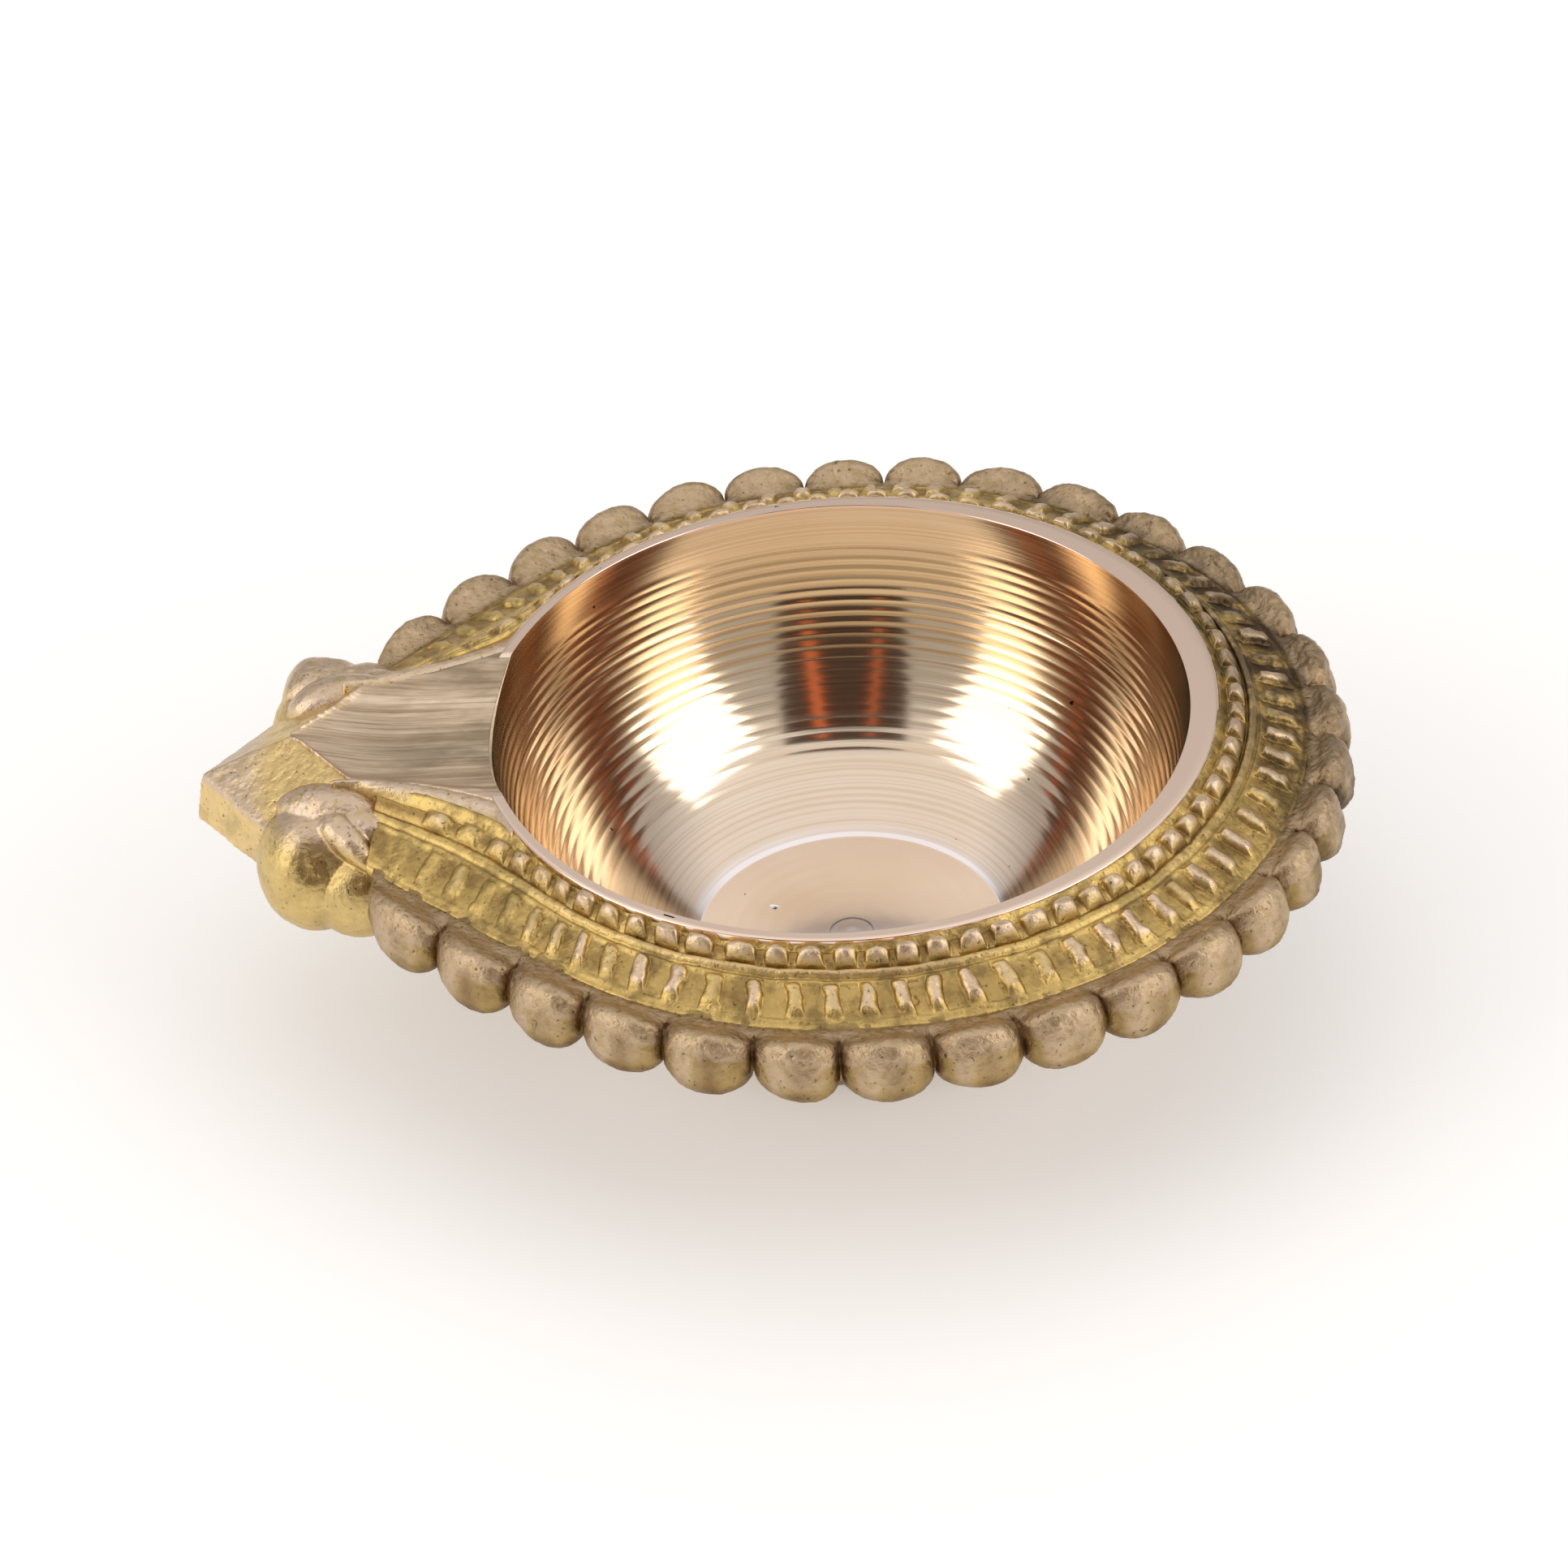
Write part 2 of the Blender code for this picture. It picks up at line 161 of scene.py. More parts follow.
# ---------------------------------------------------------------- mesh making
def add_piece(name, points, faces, attributes, material, node):
    """One closed mesh from points (mm) and a list of face arrays, riding on the lamp's body."""
    mesh = bpy.data.meshes.new(name)
    points = points.reshape(-1, 3)
    mesh.vertices.add(len(points))
    mesh.vertices.foreach_set("co", (points * MM).astype(np.float32).ravel())
    corners = np.concatenate([f.ravel() for f in faces]).astype(np.int32)
    sizes = np.concatenate([np.full(len(f), f.shape[1]) for f in faces])
    mesh.loops.add(len(corners))
    mesh.loops.foreach_set("vertex_index", corners)
    mesh.polygons.add(len(sizes))
    mesh.polygons.foreach_set("loop_start", (np.cumsum(sizes) - sizes).astype(np.int32))
    mesh.polygons.foreach_set("use_smooth", np.ones(len(sizes), bool))
    mesh.update(calc_edges=True)
    mesh.validate()
    for label, values in attributes.items():
        layer = mesh.attributes.new(label, "FLOAT", "POINT")
        layer.data.foreach_set("value", np.asarray(values, np.float32).ravel())
    obj = bpy.data.objects.new(name, mesh)
    bpy.context.scene.collection.objects.link(obj)
    finish_piece(obj, material, node)
    make_outward(obj)


def finish_piece(obj, material, node):
    """Gives a piece its brass and its body, and hides the CAD node that it stands for."""
    obj.data.materials.clear()
    obj.data.materials.append(material)
    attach(obj, "root")
    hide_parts(node)


def make_outward(obj):
    """Turns the faces outwards if the closed mesh came out inside out."""
    mesh = obj.data
    mesh.calc_loop_triangles()
    co = np.empty(len(mesh.vertices) * 3, np.float32)
    mesh.vertices.foreach_get("co", co)
    tri = np.empty(len(mesh.loop_triangles) * 3, np.int32)
    mesh.loop_triangles.foreach_get("vertices", tri)
    p = co.reshape(-1, 3).astype(float)[tri.reshape(-1, 3)]
    if np.einsum("ij,ij->i", p[:, 0], np.cross(p[:, 1], p[:, 2])).sum() < 0:
        mesh.flip_normals()


def grid_faces(rows, columns, wrap_rows=False, wrap_columns=False):
    """Four-cornered faces between neighbours of a grid of points."""
    r = np.arange(rows if wrap_rows else rows - 1)
    c = np.arange(columns if wrap_columns else columns - 1)
    r, c = np.meshgrid(r, c, indexing="ij")
    r1, c1 = (r + 1) % rows, (c + 1) % columns
    quads = np.stack([r * columns + c, r * columns + c1, r1 * columns + c1, r1 * columns + c], -1)
    return quads.reshape(-1, 4)


def fan_cap(loop, centre, flip=False):
    """Triangles from one centre point to a closed loop of point numbers."""
    loop = np.asarray(loop)
    tris = np.stack([loop, np.roll(loop, -1), np.full(len(loop), centre)], -1)
    return tris[:, ::-1] if flip else tris


# ---------------------------------------------------------------- the ring's shape
def side_tip(turn):
    return np.where(np.asarray(turn) < 0, END_NEAR, END_FAR)


def ring_plan(share, turn):
    """(x, y) of a place on the ring: share of its width, turn from -1 (near end) to 1."""
    share, turn = np.broadcast_arrays(np.asarray(share, float), np.asarray(turn, float))
    tip = side_tip(turn)
    end = mix(END_BASE, tip, share)
    start = mix(FLARE_START_BASE, FLARE_START_TIP, share)
    fan = np.clip((np.abs(turn) - FAN_START) / (1 - FAN_START), 0, None) ** 2
    angle = np.abs(turn) * tip + (end - tip) * fan
    flare = np.clip((angle - start) / (end - start), 0, None)
    radius = BASE_R + RING_WIDTH * share
    power = mix(FLARE_POWER_BASE, FLARE_POWER_TIP, share)
    radius = radius + mix(FLARE_BASE, FLARE_TIP, share) * flare ** power
    # The casting is uneven: its inner rows sit further from the mouth on the right than on the
    # left, and its edge is slightly flat on the far right.
    signed = angle * np.sign(turn)
    degrees = np.degrees(signed)
    rows = ROWS_OUT * unevenness(signed) - ROWS_IN * smooth(155, 120, np.abs(degrees))
    radius = radius + rows * smooth(0.88, 0.50, share)
    radius = radius - FLAT_EDGE * share * bump(degrees, FLAT_AT, FLAT_REACH)
    x = mix(BASE_SHIFT, TIP_SHIFT, share) + radius * np.cos(angle)
    return x, np.sign(turn) * radius * np.sin(angle)


def crease_angles():
    """Degrees round the ring of the creases between lobes. They were cut by eye, so the lobes on
    the right have drifted towards the front and no two are quite the same width."""
    even = np.linspace(-math.degrees(END_NEAR), math.degrees(END_FAR), LOBES + 1)
    slip = np.random.default_rng(7).uniform(-0.2, 0.2, LOBES + 1)
    slip[[0, -1]] = 0
    return even - LOBE_DRIFT * bump(even, DRIFT_AT, DRIFT_REACH) + slip


CREASES = crease_angles()


def lobe_phase(turn):
    angle = np.degrees(np.asarray(turn) * side_tip(turn))
    return np.interp(angle, CREASES, np.arange(LOBES + 1))


def bead_phase(turn):
    """Counts beads and ribs along the ring. They are finer near the spout, and their spacing
    drifts a little, as if cut by hand."""
    turn = np.asarray(turn)
    finer = 2.0 * np.sign(turn) * np.clip((np.abs(turn) - 0.72) / 0.28, 0, None) ** 2
    drift = 0.35 * np.sin(turn * 5.1 + 0.4) + 0.12 * np.sin(turn * 23)
    return finer + (turn + 1) / 2 * BEADS + drift


# Depth below the rim of the cast surface along the ring's section, before beads and ribs
FLOOR_LINE = np.array([
    (-0.08, 0.05), (0.0, 0.15), (0.03, 0.55), (0.06, 0.95), (0.165, 1.65), (0.185, 1.65),
    (0.245, 1.95), (0.27, 2.05), (0.40, 2.7), (0.54, 3.5), (0.60, 3.75), (0.66, 3.6),
])


def section_depth(share):
    return np.interp(share, FLOOR_LINE[:, 0], FLOOR_LINE[:, 1])


def hand_cut(count_phase, seed, amount):
    """A random size for each bead or rib, the same all over it."""
    count = 4096        # more than there are beads, so that no size comes twice
    index = np.floor(count_phase).astype(int) % count
    table = np.random.default_rng(seed).uniform(-1, 1, count)
    return 1 + amount * table[index]


def round_hill(phase, width):
    """Cross profile of a bead or a rib: a rounded hill in the middle of each unit of phase."""
    f = np.abs(phase % 1 - 0.5) / (width / 2)
    return np.sqrt(np.clip(1 - np.clip(f, 0, 1) ** 2, 0, 1)) * smooth(1.0, 0.8, f)


# Shares of the ring's width where its rows lie
BEAD_ROW, RIDGE, RIB_INNER, RIB_OUTER = 0.108, 0.214, 0.268, 0.560


def dome(x, centre, half):
    """A parabola: 1 at the centre and 0 from half on."""
    return np.clip(1 - ((x - centre) / half) ** 2, 0, 1)


def ring_height(share, turn):
    """Of every place of the beaded and ribbed part: depth below the rim, how rubbed, and how dark with
    grime and painted shade.
    """
    spot = xyz(*ring_plan(share, turn), 0 * share)
    phase = bead_phase(turn) + 0.09 * noise(spot, 1.6, 51) + 0.05 * noise(spot, 0.7, 52)
    depth = section_depth(share) + 0.12 * noise(spot, 2.2, 53)
    near_end = np.abs(turn)
    rows_end = smooth(0.998, 0.970, near_end) * (1 - 0.35 * smooth(0.80, 0.95, near_end))
    bead = round_hill(phase, 0.80) * np.sqrt(dome(share, BEAD_ROW, 0.060))
    bead = bead * hand_cut(phase, 11, 0.2) * rows_end
    bead_base = dome(share, BEAD_ROW + 0.007, 0.058)
    ridge = np.sqrt(dome(share, RIDGE, 0.030)) * (0.72 + 0.28 * np.sin(turn * 9.0 + 1.0))
    rib_phase = phase + 0.5
    across = smooth(RIB_INNER, 0.325, share) * smooth(RIB_OUTER, 0.47, share)
    rib = round_hill(rib_phase, 0.50) * across * hand_cut(rib_phase, 12, 0.25) * rows_end
    frame_up = bump(share, 0.272, 0.03) + bump(share, 0.548, 0.03)
    rise = 1.05 * bead + 0.25 * bead_base + 0.45 * ridge + 0.68 * rib + 0.12 * frame_up
    wear_and_highlight = np.clip(1.1 * bead ** 2 + 0.35 * ridge + 0.9 * rib ** 4, 0, 1)
    # Darker between the beads, between the ribs and along the seams: partly grime, partly painted shade
    row_gap = bump(share, 0.115, 0.085) * (1 - bead) ** 2
    rib_gap = across * (1 - rib) ** 2 * 0.62
    seams = 0.8 * bump(share, 0.176, 0.018) + 0.5 * bump(share, 0.256, 0.018)
    seams = seams + 0.35 * bump(share, 0.565, 0.03)
    grime_and_painted_shade = np.clip(0.95 * row_gap + rib_gap + seams, 0, 1) * (0.75 + 0.35 * noise(spot, 3.0, 54))
    return depth - rise, wear_and_highlight, grime_and_painted_shade


def cast_skin(points, strength, seed):
    """Uneven cast surface: broad lumps, fine sand grain and a few pits."""
    rough = 0.07 * fractal(points, 2.6, seed, 3) + 0.030 * fractal(points, 0.55, seed + 9, 2)
    pits = smooth(0.62, 0.9, noise(points, 1.15, seed + 5))
    pits = pits * smooth(0.1, 0.6, noise(points, 6.0, seed + 6))
    return strength * (rough - 0.22 * pits)


BAND_COLUMNS = 2400
BAND_SEED = 20          # the same for all bands, so that their surfaces meet


def band(name, node, first, last, rows, under, turn_end=1.0):
    """A closed strip of the ring from one share to another, with the shared height on its top."""
    share = np.linspace(first, last, rows)[:, None]
    turn = np.linspace(-turn_end, turn_end, BAND_COLUMNS)[None, :]
    share, turn = np.broadcast_arrays(share, turn)
    depth, wear_and_highlight, grime_and_painted_shade = ring_height(share, turn)
    x, y = ring_plan(share, turn)
    top = xyz(x, y, RIM - depth)
    top[..., 2] += cast_skin(top, 1.1, BAND_SEED)
    top[..., 2] = np.minimum(top[..., 2], RIM)
    bottom = xyz(x, y, RIM - section_depth(share) - under)[::-1]
    sheet = np.concatenate([top, bottom])
    count = len(sheet)
    points = sheet.reshape(-1, 3)
    faces = [grid_faces(count, BAND_COLUMNS, wrap_rows=True)]
    for centre, (column, flip) in enumerate(((0, False), (BAND_COLUMNS - 1, True))):
        faces.append(fan_cap(np.arange(count) * BAND_COLUMNS + column, len(points) + centre, flip))
    points = np.concatenate([points, [sheet[:, 0].mean(0), sheet[:, -1].mean(0)]])
    # The underside sheet and the two end-cap centres are painted fully dark: painted shade under the
    # ring
    marks = {"wear_and_highlight": np.concatenate([wear_and_highlight.ravel(), np.zeros(wear_and_highlight.size + 2)]),
             "grime_and_painted_shade": np.concatenate([grime_and_painted_shade.ravel(), np.ones(grime_and_painted_shade.size + 2)])}
    add_piece(name, points, faces, marks, rim_cast, node)


# ---------------------------------------------------------------- materials
def new_material(name):
    material = bpy.data.materials.new(name)
    material.use_nodes = True
    tree = material.node_tree
    tree.nodes.clear()
    out = tree.nodes.new("ShaderNodeOutputMaterial")
    shader = tree.nodes.new("ShaderNodeBsdfPrincipled")
    tree.links.new(shader.outputs[0], out.inputs[0])
    shader.inputs["Metallic"].default_value = 1.0
    return material, tree, shader


class Nodes:
    """Short ways to add the nodes that the brass materials share."""

    def __init__(self, tree):
        self.tree = tree
        self.place = tree.nodes.new("ShaderNodeTexCoord").outputs["Object"]

    def link(self, a, b):
        self.tree.links.new(a, b)

    def noise(self, scale, detail=4.0, rough=0.6, vector=None):
        node = self.tree.nodes.new("ShaderNodeTexNoise")
        node.inputs["Scale"].default_value = scale
        node.inputs["Detail"].default_value = detail
        node.inputs["Roughness"].default_value = rough
        self.link(vector or self.place, node.inputs["Vector"])
        return node.outputs["Fac"]

    def stretch(self, scale):
        node = self.tree.nodes.new("ShaderNodeMapping")
        node.inputs["Scale"].default_value = scale
        self.link(self.place, node.inputs["Vector"])
        return node.outputs[0]

    def ramp(self, value, stops):
        node = self.tree.nodes.new("ShaderNodeValToRGB")
        ramp = node.color_ramp
        while len(ramp.elements) > len(stops):
            ramp.elements.remove(ramp.elements[-1])
        while len(ramp.elements) < len(stops):
            ramp.elements.new(0.5)
        for element, (place, colour) in zip(ramp.elements, stops):
            element.position = place
            element.color = (*colour, 1) if hasattr(colour, "__len__") else (colour,) * 3 + (1,)
        self.link(value, node.inputs[0])
        return node.outputs[0]

    def blend(self, share, a, b):
        node = self.tree.nodes.new("ShaderNodeMix")
        node.data_type = "RGBA"
        for socket, value in ((node.inputs[0], share), (node.inputs[6], a), (node.inputs[7], b)):
            if hasattr(value, "is_output"):
                self.link(value, socket)
            else:
                socket.default_value = (*value, 1) if hasattr(value, "__len__") else value
        return node.outputs[2]

    def axes(self):
        """The X, Y and Z of a place on the lamp, in metres."""
        node = self.tree.nodes.new("ShaderNodeSeparateXYZ")
        self.link(self.place, node.inputs[0])
        return node.outputs

    def maths(self, kind, *values):
        node = self.tree.nodes.new("ShaderNodeMath")
        node.operation = kind
        for socket, value in zip(node.inputs, values):
            if hasattr(value, "is_output"):
                self.link(value, socket)
            else:
                socket.default_value = value
        return node.outputs[0]

    def attribute(self, name):
        node = self.tree.nodes.new("ShaderNodeAttribute")
        node.attribute_name = name
        return node.outputs["Fac"]

    def bump(self, height, strength, distance, normal=None):
        node = self.tree.nodes.new("ShaderNodeBump")
        node.inputs["Strength"].default_value = strength
        node.inputs["Distance"].default_value = distance
        self.link(height, node.inputs["Height"])
        if normal is not None:
            self.link(normal, node.inputs["Normal"])
        return node.outputs[0]


def cast_brass(name, recess, high, dark, wear_and_highlight_gain=1.0, rough=(0.34, 0.55), grain=1.0, dirt=0.7):
    """Sand-cast brass: yellow in the recesses, greyed and pinkish where it is handled and where a
    painted highlight is marked, dark in the deepest crevices and pits, and darker where the mesh marks
    grime and painted shade."""
    material, tree, shader = new_material(name)
    n = Nodes(tree)
    wear_and_highlight = n.attribute("wear_and_highlight")
    broad = n.noise(110, 3, 0.55)
    fine = n.noise(1300, 5, 0.62)
    speck = n.noise(2600, 2, 0.5)
    mask = n.maths("ADD", n.maths("MULTIPLY", wear_and_highlight, wear_and_highlight_gain), n.maths("MULTIPLY", broad, 0.5))
    base = n.blend(n.ramp(mask, [(0.38, 0.0), (0.98, 1.0)]), recess, high)
    mottled = n.blend(n.ramp(fine, [(0.36, 0.55), (0.56, 0.0)]), base, [c * 0.80 for c in recess])
    deep = n.ramp(n.maths("MULTIPLY_ADD", wear_and_highlight, 0.55, 0.18), [(0.10, 1.0), (0.42, 0.0)])
    dirty = n.maths("MULTIPLY", deep, n.ramp(n.noise(420, 4, 0.6), [(0.46, 0.0), (0.62, dirt)]))
    colour = n.blend(dirty, mottled, dark)
    # Darker where the mesh marks it: grime and painted shade in crevices and under the lobes, a painted
    # shadow in the eye sockets and painted reflections on the lobes' faces
    grime_and_shade = n.ramp(n.noise(650, 4, 0.6), [(0.30, 1.0), (0.75, 0.62)])
    grime_and_shade = n.maths("MULTIPLY", n.attribute("grime_and_painted_shade"), grime_and_shade)
    colour = n.blend(grime_and_shade, colour, [c * k for c, k in zip(recess, (0.36, 0.28, 0.28))])
    # Dark patina, which covers the right of the ring and is thickest in its crevices
    place = n.axes()
    across = n.maths("ADD", n.maths("MULTIPLY", place["X"], 0.92), n.maths("MULTIPLY", place["Y"], 0.40))
    old = n.ramp(n.maths("MULTIPLY", across, 20.0), [(0.50, 0.0), (0.72, 1.0)])
    low = n.ramp(wear_and_highlight, [(0.30, 1.0), (1.0, 0.45)])
    patchy = n.ramp(n.noise(330, 4, 0.65), [(0.34, 0.0), (0.55, 0.92)])
    colour = n.blend(n.maths("MULTIPLY", n.maths("MULTIPLY", old, low), patchy), colour, dark)
    pits = n.ramp(speck, [(0.27, 1.0), (0.34, 0.0)])
    colour = n.blend(n.maths("MULTIPLY", pits, 0.7), colour, dark)
    n.link(colour, shader.inputs["Base Color"])
    dull = n.maths("ADD", n.maths("MULTIPLY", fine, 0.7), n.maths("MULTIPLY", dirty, 0.5))
    n.link(n.ramp(dull, [(0.2, rough[0]), (0.75, rough[1])]), shader.inputs["Roughness"])
    coarse = n.bump(n.noise(1500, 4, 0.6), 0.55 * grain, 0.00012)
    n.link(n.bump(fine, 0.5 * grain, 0.00022, coarse), shader.inputs["Normal"])
    return material


def turned_brass(name):
    """The bowl: lathe-turned and polished, coppery gold with a paler, pinker floor and land, and
    fine tool lines round the axis."""
    material, tree, shader = new_material(name)
    n = Nodes(tree)
    rings = n.noise(1.0, 3, 0.6, n.stretch((14.0, 14.0, 5200.0)))
    broad = n.noise(60, 3, 0.5)
    height = n.maths("MULTIPLY", n.axes()["Z"], 1000 / RIM)         # 0 at the table, 1 at the rim
    upper = n.ramp(height, [(0.16, 0.0), (0.62, 1.0)])
    gold = n.blend(upper, (0.84, 0.71, 0.61), (0.86, 0.71, 0.51))
    floor = n.ramp(height, [(0.147, 1.0), (0.155, 0.0)])
    gold = n.blend(floor, gold, (0.99, 0.95, 1.0))
    colour = n.blend(n.ramp(broad, [(0.35, 0.0), (0.75, 0.35)]), gold, (0.76, 0.58, 0.40))
    colour = n.blend(n.ramp(rings, [(0.40, 0.45), (0.52, 0.0)]), colour, (0.64, 0.47, 0.31))
    land = n.ramp(height, [(0.988, 0.0), (0.994, 1.0)])
    colour = n.blend(n.maths("MULTIPLY", land, 0.9), colour, (0.96, 0.75, 0.63))
    spots = n.ramp(n.noise(800, 2, 0.5), [(0.205, 1.0), (0.225, 0.0)])
    colour = n.blend(spots, colour, (0.10, 0.06, 0.04))
    colour = n.blend(n.attribute("grime_and_painted_shade"), colour, (0.03, 0.02, 0.02))
    n.link(colour, shader.inputs["Base Color"])
    dull = n.maths("ADD", n.maths("MULTIPLY", broad, 0.25), n.maths("MULTIPLY", rings, 0.8))
    n.link(n.ramp(dull, [(0.3, 0.095), (0.85, 0.18)]), shader.inputs["Roughness"])
    n.link(n.bump(rings, 0.22, 0.00002), shader.inputs["Normal"])
    return material


def brushed_brass(name):
    """The wick channel: filed along its length, greyish tan, darker near the bowl."""
    material, tree, shader = new_material(name)
    n = Nodes(tree)
    lines = n.noise(1.0, 5, 0.7, n.stretch((70.0, 2600.0, 400.0)))
    streak = n.noise(1.0, 3, 0.6, n.stretch((55.0, 900.0, 200.0)))
    stain = n.noise(1.0, 4, 0.6, n.stretch((90.0, 160.0, 90.0)))
    near_bowl = n.ramp(n.maths("MULTIPLY_ADD", n.axes()["X"], 60.0, 2.7), [(0.0, 0.0), (1.0, 1.0)])
    colour = n.blend(n.ramp(streak, [(0.3, 0.0), (0.7, 1.0)]), (0.60, 0.44, 0.29), (1.0, 0.82, 0.62))
    dark = n.maths("MULTIPLY", near_bowl, n.ramp(stain, [(0.42, 0.0), (0.62, 0.85)]))
    colour = n.blend(dark, colour, (0.20, 0.15, 0.10))
    colour = n.blend(n.ramp(lines, [(0.32, 0.75), (0.52, 0.0)]), colour, (0.28, 0.20, 0.13))
    n.link(colour, shader.inputs["Base Color"])
    n.link(n.ramp(lines, [(0.3, 0.5), (0.7, 0.3)]), shader.inputs["Roughness"])
    n.link(n.bump(lines, 0.45, 0.00010), shader.inputs["Normal"])
    return material


YELLOW, PINKISH, SOOT = (0.70, 0.50, 0.18), (0.76, 0.58, 0.42), (0.07, 0.045, 0.03)
turned = turned_brass("turned_brass")
rim_cast = cast_brass("rim_cast_brass", YELLOW, PINKISH, SOOT)
lobe_cast = cast_brass("lobe_cast_brass", (0.47, 0.33, 0.13), (0.58, 0.43, 0.28), SOOT,
                       rough=(0.36, 0.56), grain=1.5, dirt=0.6)
head_cast = cast_brass("head_cast_brass", (0.68, 0.50, 0.20), (0.68, 0.52, 0.39), SOOT,
                       rough=(0.28, 0.5), dirt=0.25)
neck_cast = cast_brass("neck_cast_brass", (0.70, 0.50, 0.22), (0.76, 0.60, 0.45), SOOT,
                       wear_and_highlight_gain=1.2, dirt=0.3)
nose_cast = cast_brass("nose_cast_brass", (0.80, 0.59, 0.27), (0.66, 0.51, 0.38), SOOT, dirt=0.3)
foot_cast = cast_brass("foot_cast_brass", (0.50, 0.38, 0.18), (0.42, 0.33, 0.22), SOOT,
                       wear_and_highlight_gain=0.8, rough=(0.42, 0.62))
channel_brass = brushed_brass("channel_brass")


# ---------------------------------------------------------------- bowl
def channel_below(y):
    """Depth below the rim of the wick channel's round hollow at a distance y from its middle."""
    r = (MOUTH_HALF ** 2 + CHANNEL_DEPTH ** 2) / (2 * CHANNEL_DEPTH)
    return CHANNEL_DEPTH - (r - np.sqrt(np.clip(r * r - y * y, 0, None)))


def wall_curve(angle, outwards=0.0):
    """(radius, depth) of the bowl's wall, which runs from WALL_TOP at the rim to WALL_FLOOR."""
    half_r = (MOUTH_R - FLOOR_R) / (math.cos(WALL_TOP) - math.cos(WALL_FLOOR))
    half_d = BOWL_DEPTH / (math.sin(WALL_FLOOR) - math.sin(WALL_TOP))
    return (MOUTH_R - half_r * math.cos(WALL_TOP) + (half_r + outwards) * np.cos(angle),
            (half_d + outwards) * np.sin(angle) - half_d * math.sin(WALL_TOP))


LATHE_PITCH = 0.92          # depth that the tool moves down in a turn


def lathe_marks(depth, turn):
    """Tool marks along the wall, in mm: coarse rounds near the rim, finer and fainter below."""
    coarse = smooth(3.2, 4.4, depth) * smooth(10.5, 8.0, depth)
    fine = smooth(6.5, 9.0, depth) * smooth(22.6, 18.0, depth)
    drift = 0.16 * np.sin(3 * turn + 0.7) + 0.10 * np.sin(7 * turn)
    rounds = (depth + 0.05 * drift) / LATHE_PITCH + turn / TAU
    tool = np.abs(np.sin(math.pi * rounds))
    jitter = noise(xyz(np.floor(rounds) * 3.7, 0 * turn, 0 * turn), 1.0, 31)
    around = xyz(depth * 6, np.cos(turn) * 4, np.sin(turn) * 4)
    chatter = 0.15 * np.sin(2.63 * TAU * depth) + 0.3 * noise(around, 1.0, 33)
    upper = 0.030 * tool * (1 + 0.5 * jitter) + 0.006 * chatter
    lower = 0.028 * tool * (1 + 0.6 * jitter) + 0.0035 * chatter
    return coarse * upper + fine * lower


def land_reach(angle):
    """Width of the flat land at an angle round the bowl: up to the ring's base curve."""
    return LAND_WIDTH + LAND_EXTRA * unevenness(angle)


PIT_AT, PIT_DEPTH, PIT_R = (-6.8, 3.8), 0.16, 0.36      # one casting pit in the bowl's floor
ARC_R, ARC_HALF = 1.9, 0.17                             # a dark arc round the floor's centre


def bowl_floor(turn):
    """The nearly flat floor with its pit, and how dark each place of it is."""
    radius = np.concatenate([np.linspace(0.05, 3.2, 40), np.linspace(3.3, FLOOR_R - 0.4, 34)])[:, None]
    depth = BOWL_DEPTH + 0.0015 * np.cos(radius * 4.1)
    x, y = radius * np.cos(turn), radius * np.sin(turn)
    pit = PIT_DEPTH * bump(np.hypot(x - PIT_AT[0], y - PIT_AT[1]), 0, PIT_R)
    floor = xyz(x, y, RIM - depth - pit)
    floor[..., 2] += 0.006 * noise(floor, 4.0, 3)
    arc = 0.75 * bump(radius, ARC_R, ARC_HALF) * smooth(-0.4, 1.2, y)
    return floor, np.maximum(pit > 0.05, arc)


def bowl_wall(turn):
    """The inside of the wall, from the floor up, with the tool marks cut along its slope."""
    angle = np.linspace(WALL_FLOOR, WALL_TOP, 330)[:, None]
    radius, depth = wall_curve(angle)
    mark = lathe_marks(depth + 0 * turn, turn + 0 * depth)
    slope = np.arctan2(-np.gradient(radius[:, 0]), -np.gradient(depth[:, 0]))[:, None]
    radius = radius + mark * np.cos(slope)
    depth = depth + mark * np.sin(np.abs(slope))
    return xyz(radius * np.cos(turn), radius * np.sin(turn), RIM - depth)


def bowl_land(turn):
    """The flat around the mouth, whose outer edge follows the ring's base curve."""
    width = land_reach(np.where(turn > math.pi, turn - TAU, turn))
    rings = []
    for reach, drop in ((0.015, 0), (0.04, 0), (width * 0.35, 0), (width * 0.6, 0),
                        (width * 0.85, 0), (width * 0.95, 0.03), (width, 0.12)):
        r = MOUTH_R + reach
        rings.append(xyz(r * np.cos(turn), r * np.sin(turn), RIM - drop))
    return np.concatenate(rings)


def bowl_outside(turn):
    """The outside of the wall, down under the collar to the foot."""
    rings = []
    for angle in np.linspace(WALL_TOP + 0.03, WALL_FLOOR, 40):
        r, d = wall_curve(angle, BOWL_WALL)
        r = min(r, MOUTH_R + BOWL_WALL)
        rings.append(xyz(r * np.cos(turn), r * np.sin(turn), RIM - np.full_like(turn, d)))
    return np.concatenate(rings)


SPOUT_FROM = -20            # the wick channel crosses the rim to the left of this X


